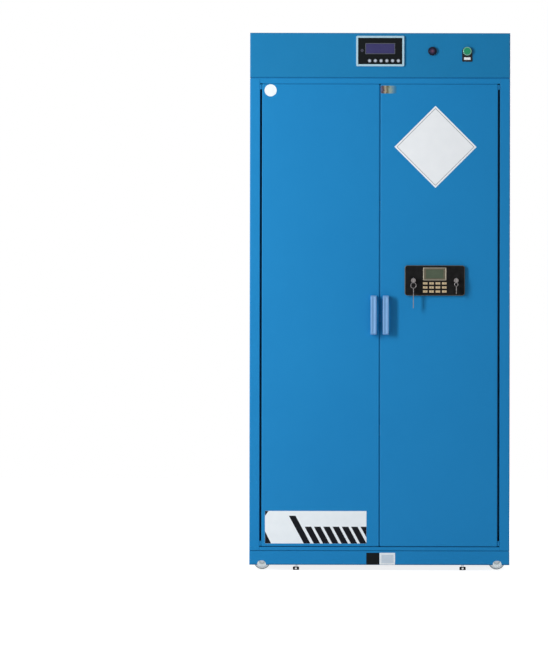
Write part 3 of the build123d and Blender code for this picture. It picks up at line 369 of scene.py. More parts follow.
# %% [markdown]
# ## Two finishes on one solid
#
# A foot is a black pad on a bright stud, a wheel has a grey tread round a pale body, and the lock's black
# front has a lighter bronze rim, partly a painted highlight on its bevel. Each is one piece in the model. Its
# faces could be sorted by hand, but a mask made from Object coordinates also draws a line where no edge is. A
# little dust greys both finishes.

# %% A pair of finishes behind a mask
DUST = (0.25, 0.25, 0.25, 1.0)


def two_finishes(name, mask_of, first, second, grain=900.0, depth=0.06, gloss=0.15, painted_glow=0.0):
    """first and second are (colour, roughness, metallic); the mask is 1 where the second shows."""
    pair = Finish(name)
    mask = mask_of(pair)
    drift = pair.noise(60.0, 3.0)
    fine = pair.noise(grain, 2.0)
    near, far = [pair.mix(drift * 0.06, look[0], DUST) for look in (first, second)]
    colour = pair.mix(mask, near, far)
    return pair.surface(
        Base_Color=colour,
        Roughness=mask * (second[1] - first[1]) + first[1] + fine * 0.08,
        Metallic=mask * (second[2] - first[2]) + first[2],
        Specular_IOR_Level=gloss,
        # The glow in the finish's own colour is painted light for parts that sit in shade.
        Emission_Color=colour,
        Emission_Strength=painted_glow,
        Normal=pair.bump(fine, depth, 0.3 * MM),
    )


def outside(radius, centre, across=(0, 2)):
    """A mask that is 1 beyond a radius about the centre."""
    return lambda finish: finish.away_from(centre, across) > radius


print("masked finishes ready")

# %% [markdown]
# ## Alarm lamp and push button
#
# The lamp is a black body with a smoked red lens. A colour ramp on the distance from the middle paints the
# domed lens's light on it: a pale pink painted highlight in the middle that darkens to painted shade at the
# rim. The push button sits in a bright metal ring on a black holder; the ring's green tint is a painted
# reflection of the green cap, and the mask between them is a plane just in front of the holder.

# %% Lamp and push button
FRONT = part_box("header_front")[0].y
HAIR = 0.05 * MM
LENS_REACH = 5.0 * MM
LENS_RADIUS = 11.0 * MM
HOLDER_T = 2.0 * MM
lamp_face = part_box("alarm_lamp")[0].y + LENS_REACH
holder_front = FRONT - HOLDER_T


def in_front_of(plane):
    """A mask that is 1 for what stands before a plane, with a hair's breadth to spare."""
    return lambda finish: finish.axes()[1] < plane - HAIR


def lamp_finish():
    """Black body and a smoked red lens with a painted highlight in its middle and painted shade at its rim.
    """
    lens = Finish("alarm_lamp_finish")
    away = lens.away_from(middle_of("alarm_lamp")) / LENS_RADIUS
    # Painted highlight and shade of the domed lens: pale pink in the middle, dark at the rim.
    depth = lens.ramp(away, (0.10, tone(106, 72, 94)), (0.50, tone(62, 44, 70)), (0.95, tone(18, 25, 54)))
    ripple = lens.noise(420.0, 2.0)
    on_lens = in_front_of(lamp_face)(lens)
    return lens.surface(
        Base_Color=lens.mix(on_lens, tone(20, 20, 38), depth),
        Roughness=0.34 - on_lens * 0.16 + ripple * 0.05,
        Specular_IOR_Level=0.15,
        Normal=lens.bump(ripple, 0.04, 0.3 * MM),
    )


# The ring's green-grey colour is a painted reflection of the green cap.
bezel = two_finishes("switch_bezel_finish", in_front_of(holder_front),
                     (tone(24, 24, 27), 0.42, 0.0), (tone(112, 164, 146), 0.20, 1.0))
wear(lamp_finish(), "alarm_lamp")
wear(bezel, "switch_bezel")
print("lens before", round(lamp_face / MM, 1), "mm, ring before", round(holder_front / MM, 1), "mm")

# %% [markdown]
# ## Feet
#
# A levelling foot is a bright steel stud in a black pad. A bright disc in the pad's front is a painted
# highlight on its rounded face. The mask joins both bright places: all that is above the pad, and the disc in
# its front.

# %% Levelling feet
PAD_TOP = 11.2 * MM
PAINTED_HIGHLIGHT_RADIUS = 3.6 * MM


def stud_or_painted_highlight(foot_x):
    """A mask that is 1 on the stud above the pad and on a disc of painted highlight in the pad's front."""
    centre = (foot_x, 0.0, PAD_TOP / 2)

    def mask(finish):
        # A disc of painted highlight in the pad's front.
        painted_highlight = finish.away_from(centre) < PAINTED_HIGHLIGHT_RADIUS
        return painted_highlight.most(finish.axes(centre)[2] > PAD_TOP / 2)
    return mask


for name in ("foot_left", "foot_right"):
    foot = two_finishes(f"{name}_finish", stud_or_painted_highlight(middle_of(name).x),
                        (tone(22, 22, 24), 0.30, 0.0), (tone(214, 216, 218), 0.24, 1.0))
    wear(foot, name)
print("feet with pads up to", round(PAD_TOP / MM, 1), "mm")

# %% [markdown]
# ## Wheels and forks
#
# The wheels are milky nylon with a darker tread. Wheels and forks sit in shade behind the plinth, and a faint
# glow in their own colour is painted light that lifts them out of it. It stands for the light that milky
# plastic lets in and gives out again all over: subsurface scattering would be the true way, but it bakes
# badly. The forks have a hub disc about the axle, and the same mask draws it whiter and glossier, as a
# painted highlight.

# %% Wheels and forks
# Strength of the painted glow that lifts wheels and forks out of shade.
PAINTED_GLOW = 0.30
TREAD = 3.0 * MM
HUB_RADIUS = 6.5 * MM
ACROSS_FRONT_AXLE = (0, 2)
ACROSS_REAR_AXLE = (1, 2)
for name, across in (("caster_wheel_left", ACROSS_FRONT_AXLE), ("caster_wheel_right", ACROSS_FRONT_AXLE),
                     ("rear_wheels", ACROSS_REAR_AXLE)):
    low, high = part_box(name)
    body_radius = (high.z - low.z) / 2 - TREAD
    wheel = two_finishes(f"{name}_finish", outside(body_radius, middle_of(name), across),
                         (tone(246, 250, 250), 0.40, 0.0), (tone(138, 146, 146), 0.55, 0.0),
                         grain=700.0, depth=0.02, painted_glow=PAINTED_GLOW)
    wear(wheel, name)
for side in ("left", "right"):
    # Inside the hub radius the fork is whiter and glossier: a painted highlight on the hub.
    fork = two_finishes(f"caster_fork_{side}_finish", outside(HUB_RADIUS, middle_of(f"caster_wheel_{side}")),
                        (tone(250, 252, 253), 0.22, 0.0), (tone(206, 214, 214), 0.40, 0.0),
                        grain=800.0, depth=0.04, painted_glow=PAINTED_GLOW)
    wear(fork, f"caster_fork_{side}")
print("tread of", round(TREAD / MM, 1), "mm on the wheels")

# %% [markdown]
# ## Lock front and mains inlet
#
# The lock's black front has a bronze metal rim, and the rim's lighter colour is partly a painted highlight on
# the bevel. The mask is the distance to the edge of a rounded rectangle, so the rim follows the corners,
# which four straight bands wouldn't. The inlet is black with brass pins, and a small box around the pins is
# its mask.

# %% Lock and inlet
LOCK_SIZE = mm(208.0, 105.0)
LOCK_CORNER = 10.0 * MM
RIM_HIGHLIGHT_WIDTH = 2.2 * MM
PIN_FIELD = mm(12.0, 7.5)
PIN_DEPTH = 17.5 * MM
LOCK_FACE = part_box("lock_body")[0].y
lock_middle = middle_of("lock_body")
inlet_middle = middle_of("power_inlet")
inlet_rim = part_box("power_inlet")[1].y


def metal_rim_with_painted_highlight(finish):
    """1 along the rim of the lock's rounded front."""
    x, _, z = finish.axes(lock_middle)
    across = abs(x) - (LOCK_SIZE[0] / 2 - LOCK_CORNER)
    up = abs(z) - (LOCK_SIZE[1] / 2 - LOCK_CORNER)
    out_x, out_z = across.most(0.0), up.most(0.0)
    from_edge = (out_x * out_x + out_z * out_z).root() + across.most(up).least(0.0) - LOCK_CORNER
    return from_edge > -RIM_HIGHLIGHT_WIDTH


def inlet_pins(finish):
    """1 in the box that holds the inlet's pins."""
    x, y, z = finish.axes(inlet_middle)
    inside = (abs(x) < PIN_FIELD[0]) * (abs(z) < PIN_FIELD[1])
    return inside * (y > inlet_rim - inlet_middle.y - PIN_DEPTH)


# The rim's lighter bronze is partly a painted highlight on the bevel.
lock_black = two_finishes("lock_front_finish", metal_rim_with_painted_highlight,
                          (tone(9, 8, 9), 0.36, 0.0), (tone(84, 82, 72), 0.36, 0.5),
                          grain=1100.0, depth=0.12, gloss=0.05)
inlet_black = two_finishes("power_inlet_finish", inlet_pins,
                           (tone(24, 24, 26), 0.40, 0.0), (tone(214, 190, 128), 0.25, 1.0))
wear(lock_black, "lock_body")
wear(inlet_black, "power_inlet")
print("lock front", [round(size / MM) for size in LOCK_SIZE], "mm, rim worn", round(RIM_HIGHLIGHT_WIDTH / MM, 1), "mm")

# %% [markdown]
# ## Flat pieces
#
# Screens, stickers and plates are thin sheets with a shaped outline, sometimes with holes. A filled 2D
# curve is the natural tool: it closes any outline, cuts its holes and rounds its rim with a small bevel.
# The curve is then made a mesh and turned to face the front, so that its place is in its mesh.

# %% Outlines
def rounded(centre, size, corner, steps=6):
    """Outline of a rounded rectangle as points across and up."""
    points = []
    for turn, (sx, sz) in enumerate(((1, 1), (-1, 1), (-1, -1), (1, -1))):
        cx = centre[0] + sx * (size[0] / 2 - corner)
        cz = centre[1] + sz * (size[1] / 2 - corner)
        for i in range(steps + 1):
            angle = math.pi / 2 * (turn + i / steps)
            points.append((cx + corner * math.cos(angle), cz + corner * math.sin(angle)))
    return points


def circle(centre, radius, steps=48):
    turns = [2 * math.pi * i / steps for i in range(steps)]
    return [(centre[0] + radius * math.cos(a), centre[1] + radius * math.sin(a)) for a in turns]


print("points in a rounded outline:", len(rounded((0.0, 0.0), (1.0, 1.0), corner=0.1)))

# %% [markdown]
# ## From a working object to a piece
#
# Curves, letters and node trees all end in the same way: the shape is evaluated, copied as a plain mesh and
# moved to its place, and the working object is deleted. The piece is then told which body it rides on. A
# plate is one such piece.

# %% Pieces and plates
FACING_FRONT = Euler((math.pi / 2, 0, 0)).to_matrix().to_4x4()


def plain_mesh(maker, name, turn=Matrix.Identity(4)):
    """The evaluated shape of a working object as a plain mesh, with its place applied."""
    bpy.context.scene.collection.objects.link(maker)
    bpy.context.view_layer.update()
    graph = bpy.context.evaluated_depsgraph_get()
    mesh = bpy.data.meshes.new_from_object(maker.evaluated_get(graph))
    mesh.name = name
    mesh.transform(turn)
    bpy.data.objects.remove(maker)
    return mesh


def riding(name, mesh, body):
    """Puts a mesh in the scene as a piece that rides on a body."""
    piece = bpy.data.objects.new(name, mesh)
    bpy.context.scene.collection.objects.link(piece)
    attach(piece, body)
    return piece


def finished(name, mesh, material, body):
    """A piece with flat faces and one finish."""
    for face in mesh.polygons:
        face.use_smooth = False
    mesh.materials.clear()
    mesh.materials.append(material)
    return riding(name, mesh, body)


def plate(name, outlines, seat, thick, material, body, rim=0.08 * MM):
    """A sheet that stands on the plane y = seat and reaches towards the front by its thickness."""
    curve = bpy.data.curves.new(name, "CURVE")
    curve.dimensions = "2D"
    curve.fill_mode = "BOTH"
    curve.extrude = thick / 2 - rim
    curve.bevel_depth = rim
    curve.bevel_resolution = 1
    curve.offset = -rim
    for outline in outlines:
        spline = curve.splines.new("POLY")
        spline.points.add(len(outline) - 1)
        for point, (x, z) in zip(spline.points, outline):
            point.co = (x, z, 0.0, 1.0)
        spline.use_cyclic_u = True
    turn = Matrix.Translation((0.0, seat - thick / 2, 0.0)) @ FACING_FRONT
    mesh = plain_mesh(bpy.data.objects.new(name + "_outline", curve), name, turn)
    return finished(name, mesh, material, body)


print("plate maker ready")

# %% [markdown]
# ## The controller's face
#
# The controller's black face is a printed film with a hole for each button and one for the display, which
# is a violet-black window with a thin grey line around it. The film has the fine grain of screen printing,
# and the window is smooth with a clear coat, so the two blacks read differently. The window's cells are
# two zigzags at right angles: drawn as faces, thousands of them would be needed.

# %% Controller film and display
def display(name, colour, shade, pitch):
    """A liquid crystal window: faint rows and columns of cells under clear glass."""
    glass = Finish(name)
    x, _, z = glass.axes()
    cells = (x.zigzag(pitch) > 0.12) * (z.zigzag(pitch * 1.6) > 0.10)
    haze = glass.noise(28.0, 2.0)
    return glass.surface(Base_Color=glass.mix(cells * 0.5 + haze * 0.5, shade, colour),
                         Roughness=0.16 + haze * 0.10, Coat_Weight=haze * 0.2, Specular_IOR_Level=0.1)


film = moulded("printed_black_film", tone(13, 18, 20), tone(8, 11, 13),
               roughness=0.46, grain=1500.0, depth=0.10, gloss=0.1)
line_grey = moulded("printed_grey_line", tone(90, 92, 102), tone(78, 80, 90),
                    roughness=0.45, grain=1500.0, depth=0.05)
violet_display = display("violet_display", tone(62, 60, 108), tone(48, 46, 88), 0.45 * MM)

CONTROL_Z = middle_of("controller_case").z
CASE_STANDS, WINDOW_SINKS, SCREEN_UP = mm(3.5, 1.0, 8.5)
FACE_Y = FRONT - CASE_STANDS
WINDOW_SEAT = FACE_Y + WINDOW_SINKS
FILM_SIZE = mm(152.0, 91.0)
FILM_T, LINE_T, WINDOW_T = mm(0.5, 1.5, 1.2)
FILM_HOLE, LINE_OUT, LINE_IN, WINDOW = mm(103.0, 38.0), mm(102.6, 37.6), mm(98.7, 33.7), mm(98.5, 33.5)
BUTTON_HOLE = 6.4 * MM
screen_middle = (0.0, CONTROL_Z + SCREEN_UP)
button_middles = [middle_of(f"controller_button_{number}") for number in range(1, 7)]
holes = [circle((middle.x, middle.z), BUTTON_HOLE) for middle in button_middles]
holes.append(rounded(screen_middle, FILM_HOLE, corner=1.5 * MM))
plate("controller_film", [rounded((0.0, CONTROL_Z), FILM_SIZE, corner=1.0 * MM), *holes],
      FACE_Y, FILM_T, film, "cabinet")
plate("controller_display_line",
      [rounded(screen_middle, LINE_OUT, corner=1.5 * MM), rounded(screen_middle, LINE_IN, corner=1.0 * MM)],
      WINDOW_SEAT, LINE_T, line_grey, "cabinet")
plate("controller_display", [rounded(screen_middle, WINDOW, corner=1.0 * MM)],
      WINDOW_SEAT, WINDOW_T, violet_display, "cabinet")
print("controller face at", [round(v / MM, 1) for v in (0.0, FACE_Y, CONTROL_Z)])

# %% [markdown]
# ## The controller's buttons and sounder
#
# Six round buttons are pale, and each is darker in a ring round its edge as painted shade, where a domed cap
# would turn away from the light; each takes the pair of finishes with a circle as its mask. To the left of
# the display is the sounder, a small grey disc with five holes that let the buzzer's tone out. It is another
# plate with its holes in the outline.

# %% Buttons and sounder
PAINTED_SHADE_FROM = 4.4 * MM
SOUNDER_RADIUS, TONE_HOLE, SOUNDER_T = mm(5.2, 0.7, 0.5)
SOUNDER_X, SOUNDER_UP = mm(-62.5, 2.0)
TONE_HOLES = ((0, 0), (2.4, 0), (-2.4, 0), (0, 2.4), (0, -2.4))
for number, middle in enumerate(button_middles, 1):
    # Painted shade: each button is darker in a ring round its edge.
    cap = two_finishes(f"controller_button_{number}_finish", outside(PAINTED_SHADE_FROM, middle),
                       (tone(186, 194, 206), 0.30, 0.0), (tone(112, 118, 130), 0.38, 0.0),
                       grain=1200.0, depth=0.04)
    wear(cap, f"controller_button_{number}")
sounder_grey = moulded("sounder_grey_plastic", tone(74, 74, 90), tone(56, 56, 70),
                       roughness=0.5, grain=1200.0, depth=0.1)
sounder = (SOUNDER_X, CONTROL_Z + SOUNDER_UP)
tone_holes = [circle((sounder[0] + x * MM, sounder[1] + z * MM), TONE_HOLE, steps=12) for x, z in TONE_HOLES]
plate("controller_sounder", [circle(sounder, SOUNDER_RADIUS), *tone_holes],
      FACE_Y - FILM_T, SOUNDER_T, sounder_grey, "cabinet")
print("buttons:", len(button_middles), "and a sounder with", len(tone_holes), "holes")

# %% [markdown]
# ## The lock's display
#
# The lock has a grey-green display in an olive surround, and a bright frame with a round rim holds both.
# They are three plates that fit into one another, with a hair's breadth between them.

# %% Lock display
frame_metal = plated("display_frame_metal", tone(158, 152, 138), tone(128, 122, 110),
                     roughness=0.34, spangle=240.0, stretch=(4.0, 4.0, 1.0))
surround = moulded("display_surround_olive", tone(104, 100, 84), tone(92, 88, 74),
                   roughness=0.42, grain=1100.0, depth=0.06, gloss=0.1)
green_display = display("green_grey_display", tone(84, 96, 78), tone(66, 76, 62), 0.5 * MM)
FRAME_OUT, FRAME_IN = mm(80.6, 44.6), mm(73.0, 38.0)
SURROUND_OUT, SURROUND_IN = mm(72.8, 37.8), mm(60.0, 30.0)
LOCK_WINDOW = mm(59.8, 29.8)
FRAME_T, SURROUND_T, LOCK_WINDOW_T = mm(2.3, 1.8, 1.4)
SCREEN_SINKS, LOCK_SCREEN_UP = mm(1.5, 22.5)
LOCK_SEAT = LOCK_FACE + SCREEN_SINKS
lock_screen = (lock_middle.x, lock_middle.z + LOCK_SCREEN_UP)
plate("lock_display_frame",
      [rounded(lock_screen, FRAME_OUT, corner=2.0 * MM), rounded(lock_screen, FRAME_IN, corner=1.5 * MM)],
      LOCK_SEAT, FRAME_T, frame_metal, "door_right", rim=0.9 * MM)
plate("lock_display_surround",
      [rounded(lock_screen, SURROUND_OUT, corner=1.4 * MM),
       rounded(lock_screen, SURROUND_IN, corner=1.2 * MM)],
      LOCK_SEAT, SURROUND_T, surround, "door_right", rim=0.3 * MM)
plate("lock_display", [rounded(lock_screen, LOCK_WINDOW, corner=1.1 * MM)],
      LOCK_SEAT, LOCK_WINDOW_T, green_display, "door_right")
print("lock display", [round(size / MM, 1) for size in LOCK_WINDOW], "mm")

# %% [markdown]
# ## Digits on the lock's keys
#
# The twelve keys carry the ten digits, a star and a hash, printed in dark ink. A mask could paint them,
# but a text curve is sharper and needs no picture. Each becomes a thin mesh that rides on its own key, so
# that it goes in when the key is pressed.

# %% Key digits
DIGIT_SIZE = 6.2 * MM
DIGIT_T = 0.06 * MM
DIGIT_LIFT = 0.04 * MM
ink = moulded("key_digit_ink", tone(48, 40, 30), tone(38, 32, 24), roughness=0.5, grain=1500.0, depth=0.05)


def digit(text, node):
    middle = middle_of(node)
    letters = bpy.data.curves.new(f"digit_{node}", "FONT")
    letters.body = text
    letters.size = DIGIT_SIZE
    letters.align_x = "CENTER"
    letters.align_y = "CENTER"
    letters.extrude = DIGIT_T
    letters.resolution_u = 4
    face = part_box(node)[0].y - DIGIT_LIFT
    place = Matrix.Translation((middle.x, face, middle.z)) @ FACING_FRONT
    mesh = plain_mesh(bpy.data.objects.new(f"digit_maker_{node}", letters), f"digit_{node}", place)
    return finished(f"digit_{node}", mesh, ink, node)


digits = [digit(text, key) for text, key in zip("1234567890*#", lock_keys)]
print("digits on", len(digits), "keys")

# %% [markdown]
# ## White stickers
#
# The doors carry a large white diamond and a small round sticker. They are vinyl: a thin sheet with a
# soft gloss, a slight wave where it was rubbed down, and a rim that catches the light. The diamond has a
# thin inset line, which is a distance read from Object coordinates rather than a second piece.

# %% Diamond and round sticker
vinyl = moulded("white_vinyl", tone(236, 241, 244), tone(228, 234, 238),
                roughness=0.38, grain=420.0, depth=0.05)
DOOR_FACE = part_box("door_left_skin")[0].y
DIAMOND_X, DIAMOND_Z = mm(191.8, 1466.0)
HALF_DIAGONAL = 142.0 * MM
LINE_FROM, LINE_TO = HALF_DIAGONAL * 0.925, HALF_DIAGONAL * 0.945
ROUND_PLACE = mm(-378.7, 1660.7)
ROUND_RADIUS = 21.0 * MM
DIAMOND_T, ROUND_T = mm(0.4, 0.3)


def diamond_vinyl():
    sheet = Finish("diamond_vinyl")
    x, _, z = sheet.axes((DIAMOND_X, 0.0, DIAMOND_Z))
    reach = abs(x) + abs(z)
    line = (reach > LINE_FROM) * (reach < LINE_TO)
    wave = sheet.noise(30.0, 3.0)
    paper = sheet.mix(wave, tone(230, 234, 238), tone(238, 241, 244))
    return sheet.surface(Base_Color=sheet.mix(line * 0.8, paper, tone(120, 124, 130)),
                         Roughness=0.34 + wave * 0.10, Specular_IOR_Level=0.4,
                         Normal=sheet.bump(wave, 0.05, 2.0 * MM))


plate("diamond_sticker", [circle((DIAMOND_X, DIAMOND_Z), HALF_DIAGONAL, steps=4)], DOOR_FACE, DIAMOND_T,
      diamond_vinyl(), "door_right")
plate("round_sticker", [circle(ROUND_PLACE, ROUND_RADIUS)], DOOR_FACE, ROUND_T,
      vinyl, "door_left")
print("across, in mm: diamond", round(2 * HALF_DIAGONAL / MM), "round sticker", round(2 * ROUND_RADIUS / MM))

# %% [markdown]
# ## Foil sticker
#
# At the top of the right door is a small foil that was rubbed on. Crinkled foil mirrors a bit of the room
# in each crease. A true mirror would show this empty studio instead, so a colour ramp along its length,
# pushed about by a noise, gives the sheen that runs from dark through beige to a blue near the paint.

# %% Foil
FOIL_LEFT, FOIL_W, FOIL_H, FOIL_T = mm(2.0, 54.0, 27.0, 0.3)
FOIL_Z = 1664.0 * MM


def foil_finish():
    foil = Finish("rubbed_foil")
    x = foil.axes((FOIL_LEFT, 0.0, 0.0))[0]
    crinkle = foil.noise(120.0, 4.0)
    sheen = foil.ramp(x / FOIL_W + (crinkle - 0.5) * 0.30,
                      (0.02, tone(96, 100, 128)), (0.16, tone(78, 62, 62)), (0.30, tone(170, 162, 144)),
                      (0.42, tone(92, 90, 70)), (0.58, tone(140, 158, 148)), (0.90, tone(52, 118, 158)))
    return foil.surface(Base_Color=sheen, Metallic=0.20, Roughness=0.34 + crinkle * 0.2,
                        Specular_IOR_Level=0.15, Normal=foil.bump(crinkle, 0.08, 1.0 * MM))


plate("foil_sticker", [rounded((FOIL_LEFT + FOIL_W / 2, FOIL_Z), (FOIL_W, FOIL_H), corner=4.0 * MM)],
      DOOR_FACE, FOIL_T, foil_finish(), "door_right")
print("foil", [round(size / MM) for size in (FOIL_W, FOIL_H)], "mm")

# %% [markdown]
# ## Recipes for what repeats
#
# Bars, screws and wires repeat, and copies made by hand are dull to change. A Geometry Nodes tree is a
# recipe with named inputs: one shape, many places. The export drops instances, so every tree ends by
# making them real and giving them their material, and the result is kept as a plain mesh.

# %% A tree builder
class Recipe(Tree):
    """A Geometry Nodes tree with named inputs that becomes a plain mesh."""

    def __init__(self, name, **inputs):
        super().__init__(bpy.data.node_groups.new(name, "GeometryNodeTree"))
        face = self.tree.interface
        face.new_socket("Geometry", in_out="OUTPUT", socket_type="NodeSocketGeometry")
        face.new_socket("Geometry", in_out="INPUT", socket_type="NodeSocketGeometry")
        kinds = {int: "NodeSocketInt", float: "NodeSocketFloat", tuple: "NodeSocketVector"}
        self.inputs = inputs
        self.keys = {}
        for label, value in inputs.items():
            socket = face.new_socket(label, in_out="INPUT", socket_type=kinds[type(value)])
            self.keys[label] = socket.identifier

    def given(self, label):
        return self.add("NodeGroupInput", out=label)

    def close(self, shape, material, second=None, where=None):
        """Ends the tree; a second material covers the faces that are picked by where."""
        solid = self.add("GeometryNodeRealizeInstances", None, {"Geometry": shape})
        dressed = self.add("GeometryNodeSetMaterial", None, {"Geometry": solid, "Material": material})
        if second:
            dressed = self.add("GeometryNodeSetMaterial", None,
                               {"Geometry": dressed, "Selection": where, "Material": second})
        self.add("NodeGroupOutput", None, {"Geometry": dressed})

    def mesh(self, name, points=((0.0, 0.0, 0.0),), turn=Matrix.Identity(4)):
        seed = bpy.data.meshes.new(name + "_points")
        seed.from_pydata([tuple(point) for point in points], [], [])
        maker = bpy.data.objects.new(name + "_maker", seed)
        modifier = maker.modifiers.new("recipe", "NODES")
        modifier.node_group = self.tree
        for label, value in self.inputs.items():
            modifier[self.keys[label]] = value
        return plain_mesh(maker, name, turn)


print("recipe builder ready")

# %% [markdown]
# ## The striped strip
#
# Low on the left door is a white strip with slanting black bars. Its sheet, its two dark corners, the one
# long bar and the last bar, which the strip's end clips, differ from each other, so each is a plate.

# %% Strip and its single bars
STRIP_LEFT, STRIP_LOW = mm(-395.6, 93.9)
STRIP_W, STRIP_H, STRIP_SHEET = mm(351.0, 112.5, 0.35)
BAR_SEAT = DOOR_FACE - STRIP_SHEET
BAR_T = 0.12 * MM
BAR_RIM = 0.02 * MM
CORNER_TOP = ((0.3, 112.2), (12.5, 112.2), (0.3, 95.5))
CORNER_LOW = ((0.3, 0.3), (21.0, 0.3), (0.3, 42.0))
LONG_BAR = ((82.6, 96.0), (105.5, 96.0), (157.2, 0.3), (134.3, 0.3))
LAST_BAR = ((330.5, 58.3), (350.7, 58.3), (350.7, 22.0))
strip_ink = moulded("strip_black_ink", tone(14, 16, 24), tone(8, 9, 15),
                    roughness=0.40, grain=900.0, depth=0.06, gloss=0.1)
strip_middle = (STRIP_LEFT + STRIP_W / 2, STRIP_LOW + STRIP_H / 2)
plate("striped_strip", [rounded(strip_middle, (STRIP_W, STRIP_H), corner=1.5 * MM)],
      DOOR_FACE, STRIP_SHEET, vinyl, "door_left")
for name, outlines in (("strip_corners", (CORNER_TOP, CORNER_LOW)), ("strip_long_bar", (LONG_BAR,)),
                       ("strip_last_bar", (LAST_BAR,))):
    placed = [[(STRIP_LEFT + x * MM, STRIP_LOW + z * MM) for x, z in outline] for outline in outlines]
    plate(name, placed, BAR_SEAT, BAR_T, strip_ink, "door_left", rim=BAR_RIM)
print("strip", [round(size / MM, 1) for size in (STRIP_W, STRIP_H)], "mm")

# %% [markdown]
# ## The short bars
#
# Six short bars repeat at one pitch, so a Geometry Nodes tree draws them: a row of points, a
# parallelogram on each, and a small thickness. With the sizes as inputs, one more bar is one number.

# %% Short bars
BAR_W, BAR_H = mm(22.4, 58.0)
BAR_PITCH = mm(32.1, 0.0, 0.0)
BAR_LEAN = BAR_H * 0.54
FIRST_BAR, BAR_LIFT = mm(137.3, 0.2)
bars = Recipe("slanting_bars", Count=6, Pitch=BAR_PITCH, Width=BAR_W, Height=BAR_H, Slant=-BAR_LEAN,
              Thickness=BAR_T)
row = bars.add("GeometryNodeMeshLine", None, {"Count": bars.given("Count"), "Offset": bars.given("Pitch")})
slanting = bars.add("GeometryNodeCurvePrimitiveQuadrilateral", {"mode": "PARALLELOGRAM"}, {
    "Width": bars.given("Width"), "Height": bars.given("Height"), "Offset": bars.given("Slant")})
flat = bars.add("GeometryNodeFillCurve", None, {"Curve": slanting})
thick = bars.add("GeometryNodeExtrudeMesh", None, {
    "Mesh": flat, "Offset Scale": bars.given("Thickness"), "Individual": False})
bars.close(bars.add("GeometryNodeInstanceOnPoints", None, {"Points": row, "Instance": thick}), strip_ink)
bar_place = (STRIP_LEFT + FIRST_BAR + BAR_W / 2 + BAR_LEAN / 2, BAR_SEAT, STRIP_LOW + BAR_LIFT + BAR_H / 2)
bar_mesh = bars.mesh("strip_short_bars", turn=Matrix.Translation(bar_place) @ FACING_FRONT)
finished("strip_short_bars", bar_mesh, strip_ink, "door_left")
print("bars:", len(bar_mesh.polygons), "faces")

# %% [markdown]
# ## Small plates on the plinth and the button's card
#
# Two plates share the front of the plinth, one black and one pale with a grey field, and the push
# button's holder carries a white card. They are plates again, each seated on the sheet behind it.

# %% Plinth plates and legend card
PLATE_Z, PLATE_H, PLATE_T = mm(41.5, 41.0, 0.5)
BLACK_PLATE_X, BLACK_PLATE_W = mm(-22.6, 45.0)
PALE_PLATE_X, PALE_PLATE_W = mm(27.6, 54.0)
FIELD_PLACE, FIELD_SIZE = mm(28.5, 40.5), mm(42.0, 29.0)
FIELD_T = 0.1 * MM
CARD_SIZE = mm(22.6, 8.4)
CARD_DROP, CARD_T = mm(25.4, 0.4)
pale_field = moulded("pale_grey_print", tone(206, 216, 226), tone(196, 208, 218),
                     roughness=0.42, grain=900.0, depth=0.04)
plate("plinth_black_plate", [rounded((BLACK_PLATE_X, PLATE_Z), (BLACK_PLATE_W, PLATE_H), corner=1.5 * MM)],
      FRONT, PLATE_T, film, "cabinet")
plate("plinth_pale_plate", [rounded((PALE_PLATE_X, PLATE_Z), (PALE_PLATE_W, PLATE_H), corner=1.5 * MM)],
      FRONT, PLATE_T, vinyl, "cabinet")
plate("plinth_pale_field", [rounded(FIELD_PLACE, FIELD_SIZE, corner=3.0 * MM)],
      FRONT - PLATE_T, FIELD_T, pale_field, "cabinet", rim=0.02 * MM)
card_place = (middle_of("switch_bezel").x, CONTROL_Z - CARD_DROP)
plate("legend_card", [rounded(card_place, CARD_SIZE, corner=0.8 * MM)],
      holder_front, CARD_T, vinyl, "cabinet")
print("card at", [round(place / MM, 1) for place in card_place])

# %% [markdown]
# ## Draught strips
#
# Thin flocked strips, dyed like the paint, nearly close two gaps: one is glued under the top rail, and one
# runs down the meeting edge of the left door, in front of where the lock's bolt crosses. Without them the
# gaps would show as black lines. Each is a long, deep plate.

# %% Draught strips
DOOR_GAP = 2.0 * MM
RAIL_STRIP_W, RAIL_STRIP_H, RAIL_STRIP_DEEP = mm(812.0, 1.3, 15.8)
RAIL_STRIP_BACK = 16.0 * MM
MEETING_X, MEETING_W, MEETING_DEEP = mm(-0.65, 1.7, 6.5)
MEETING_BACK, MEETING_SHORT = mm(9.0, 6.0)
door_low, door_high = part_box("door_left_skin")
rail_middle = (0.0, door_high.z + DOOR_GAP - RAIL_STRIP_H / 2)
plate("rail_draught_strip", [rounded(rail_middle, (RAIL_STRIP_W, RAIL_STRIP_H), corner=0.2 * MM, steps=2)],
      FRONT + RAIL_STRIP_BACK, RAIL_STRIP_DEEP, blue_coat, "cabinet", rim=0.05 * MM)
meeting_middle = (MEETING_X, (door_low.z + door_high.z) / 2)
meeting_size = (MEETING_W, door_high.z - door_low.z - MEETING_SHORT)
plate("meeting_strip", [rounded(meeting_middle, meeting_size, corner=0.3 * MM, steps=2)],
      DOOR_FACE + MEETING_BACK, MEETING_DEEP, blue_coat, "door_left", rim=0.1 * MM)
print("meeting strip", round(meeting_size[1] / MM), "mm long")

# %% [markdown]
# ## Filter cloth
#
# Fresh air enters low in the back through a row of slots, and a pad of filter cloth behind them keeps
# dust out. Threads could be modelled one by one, but that takes a great many faces for a pattern that
# a finish draws as well. The weave is two zigzags at right angles, with lint on top.

# %% Cloth behind the vents
THREAD = 0.6 * MM
SHEET = 1.2 * MM
CLOTH_Z, CLOTH_W, CLOTH_H, CLOTH_T = mm(190.0, 292.0, 136.0, 2.0)


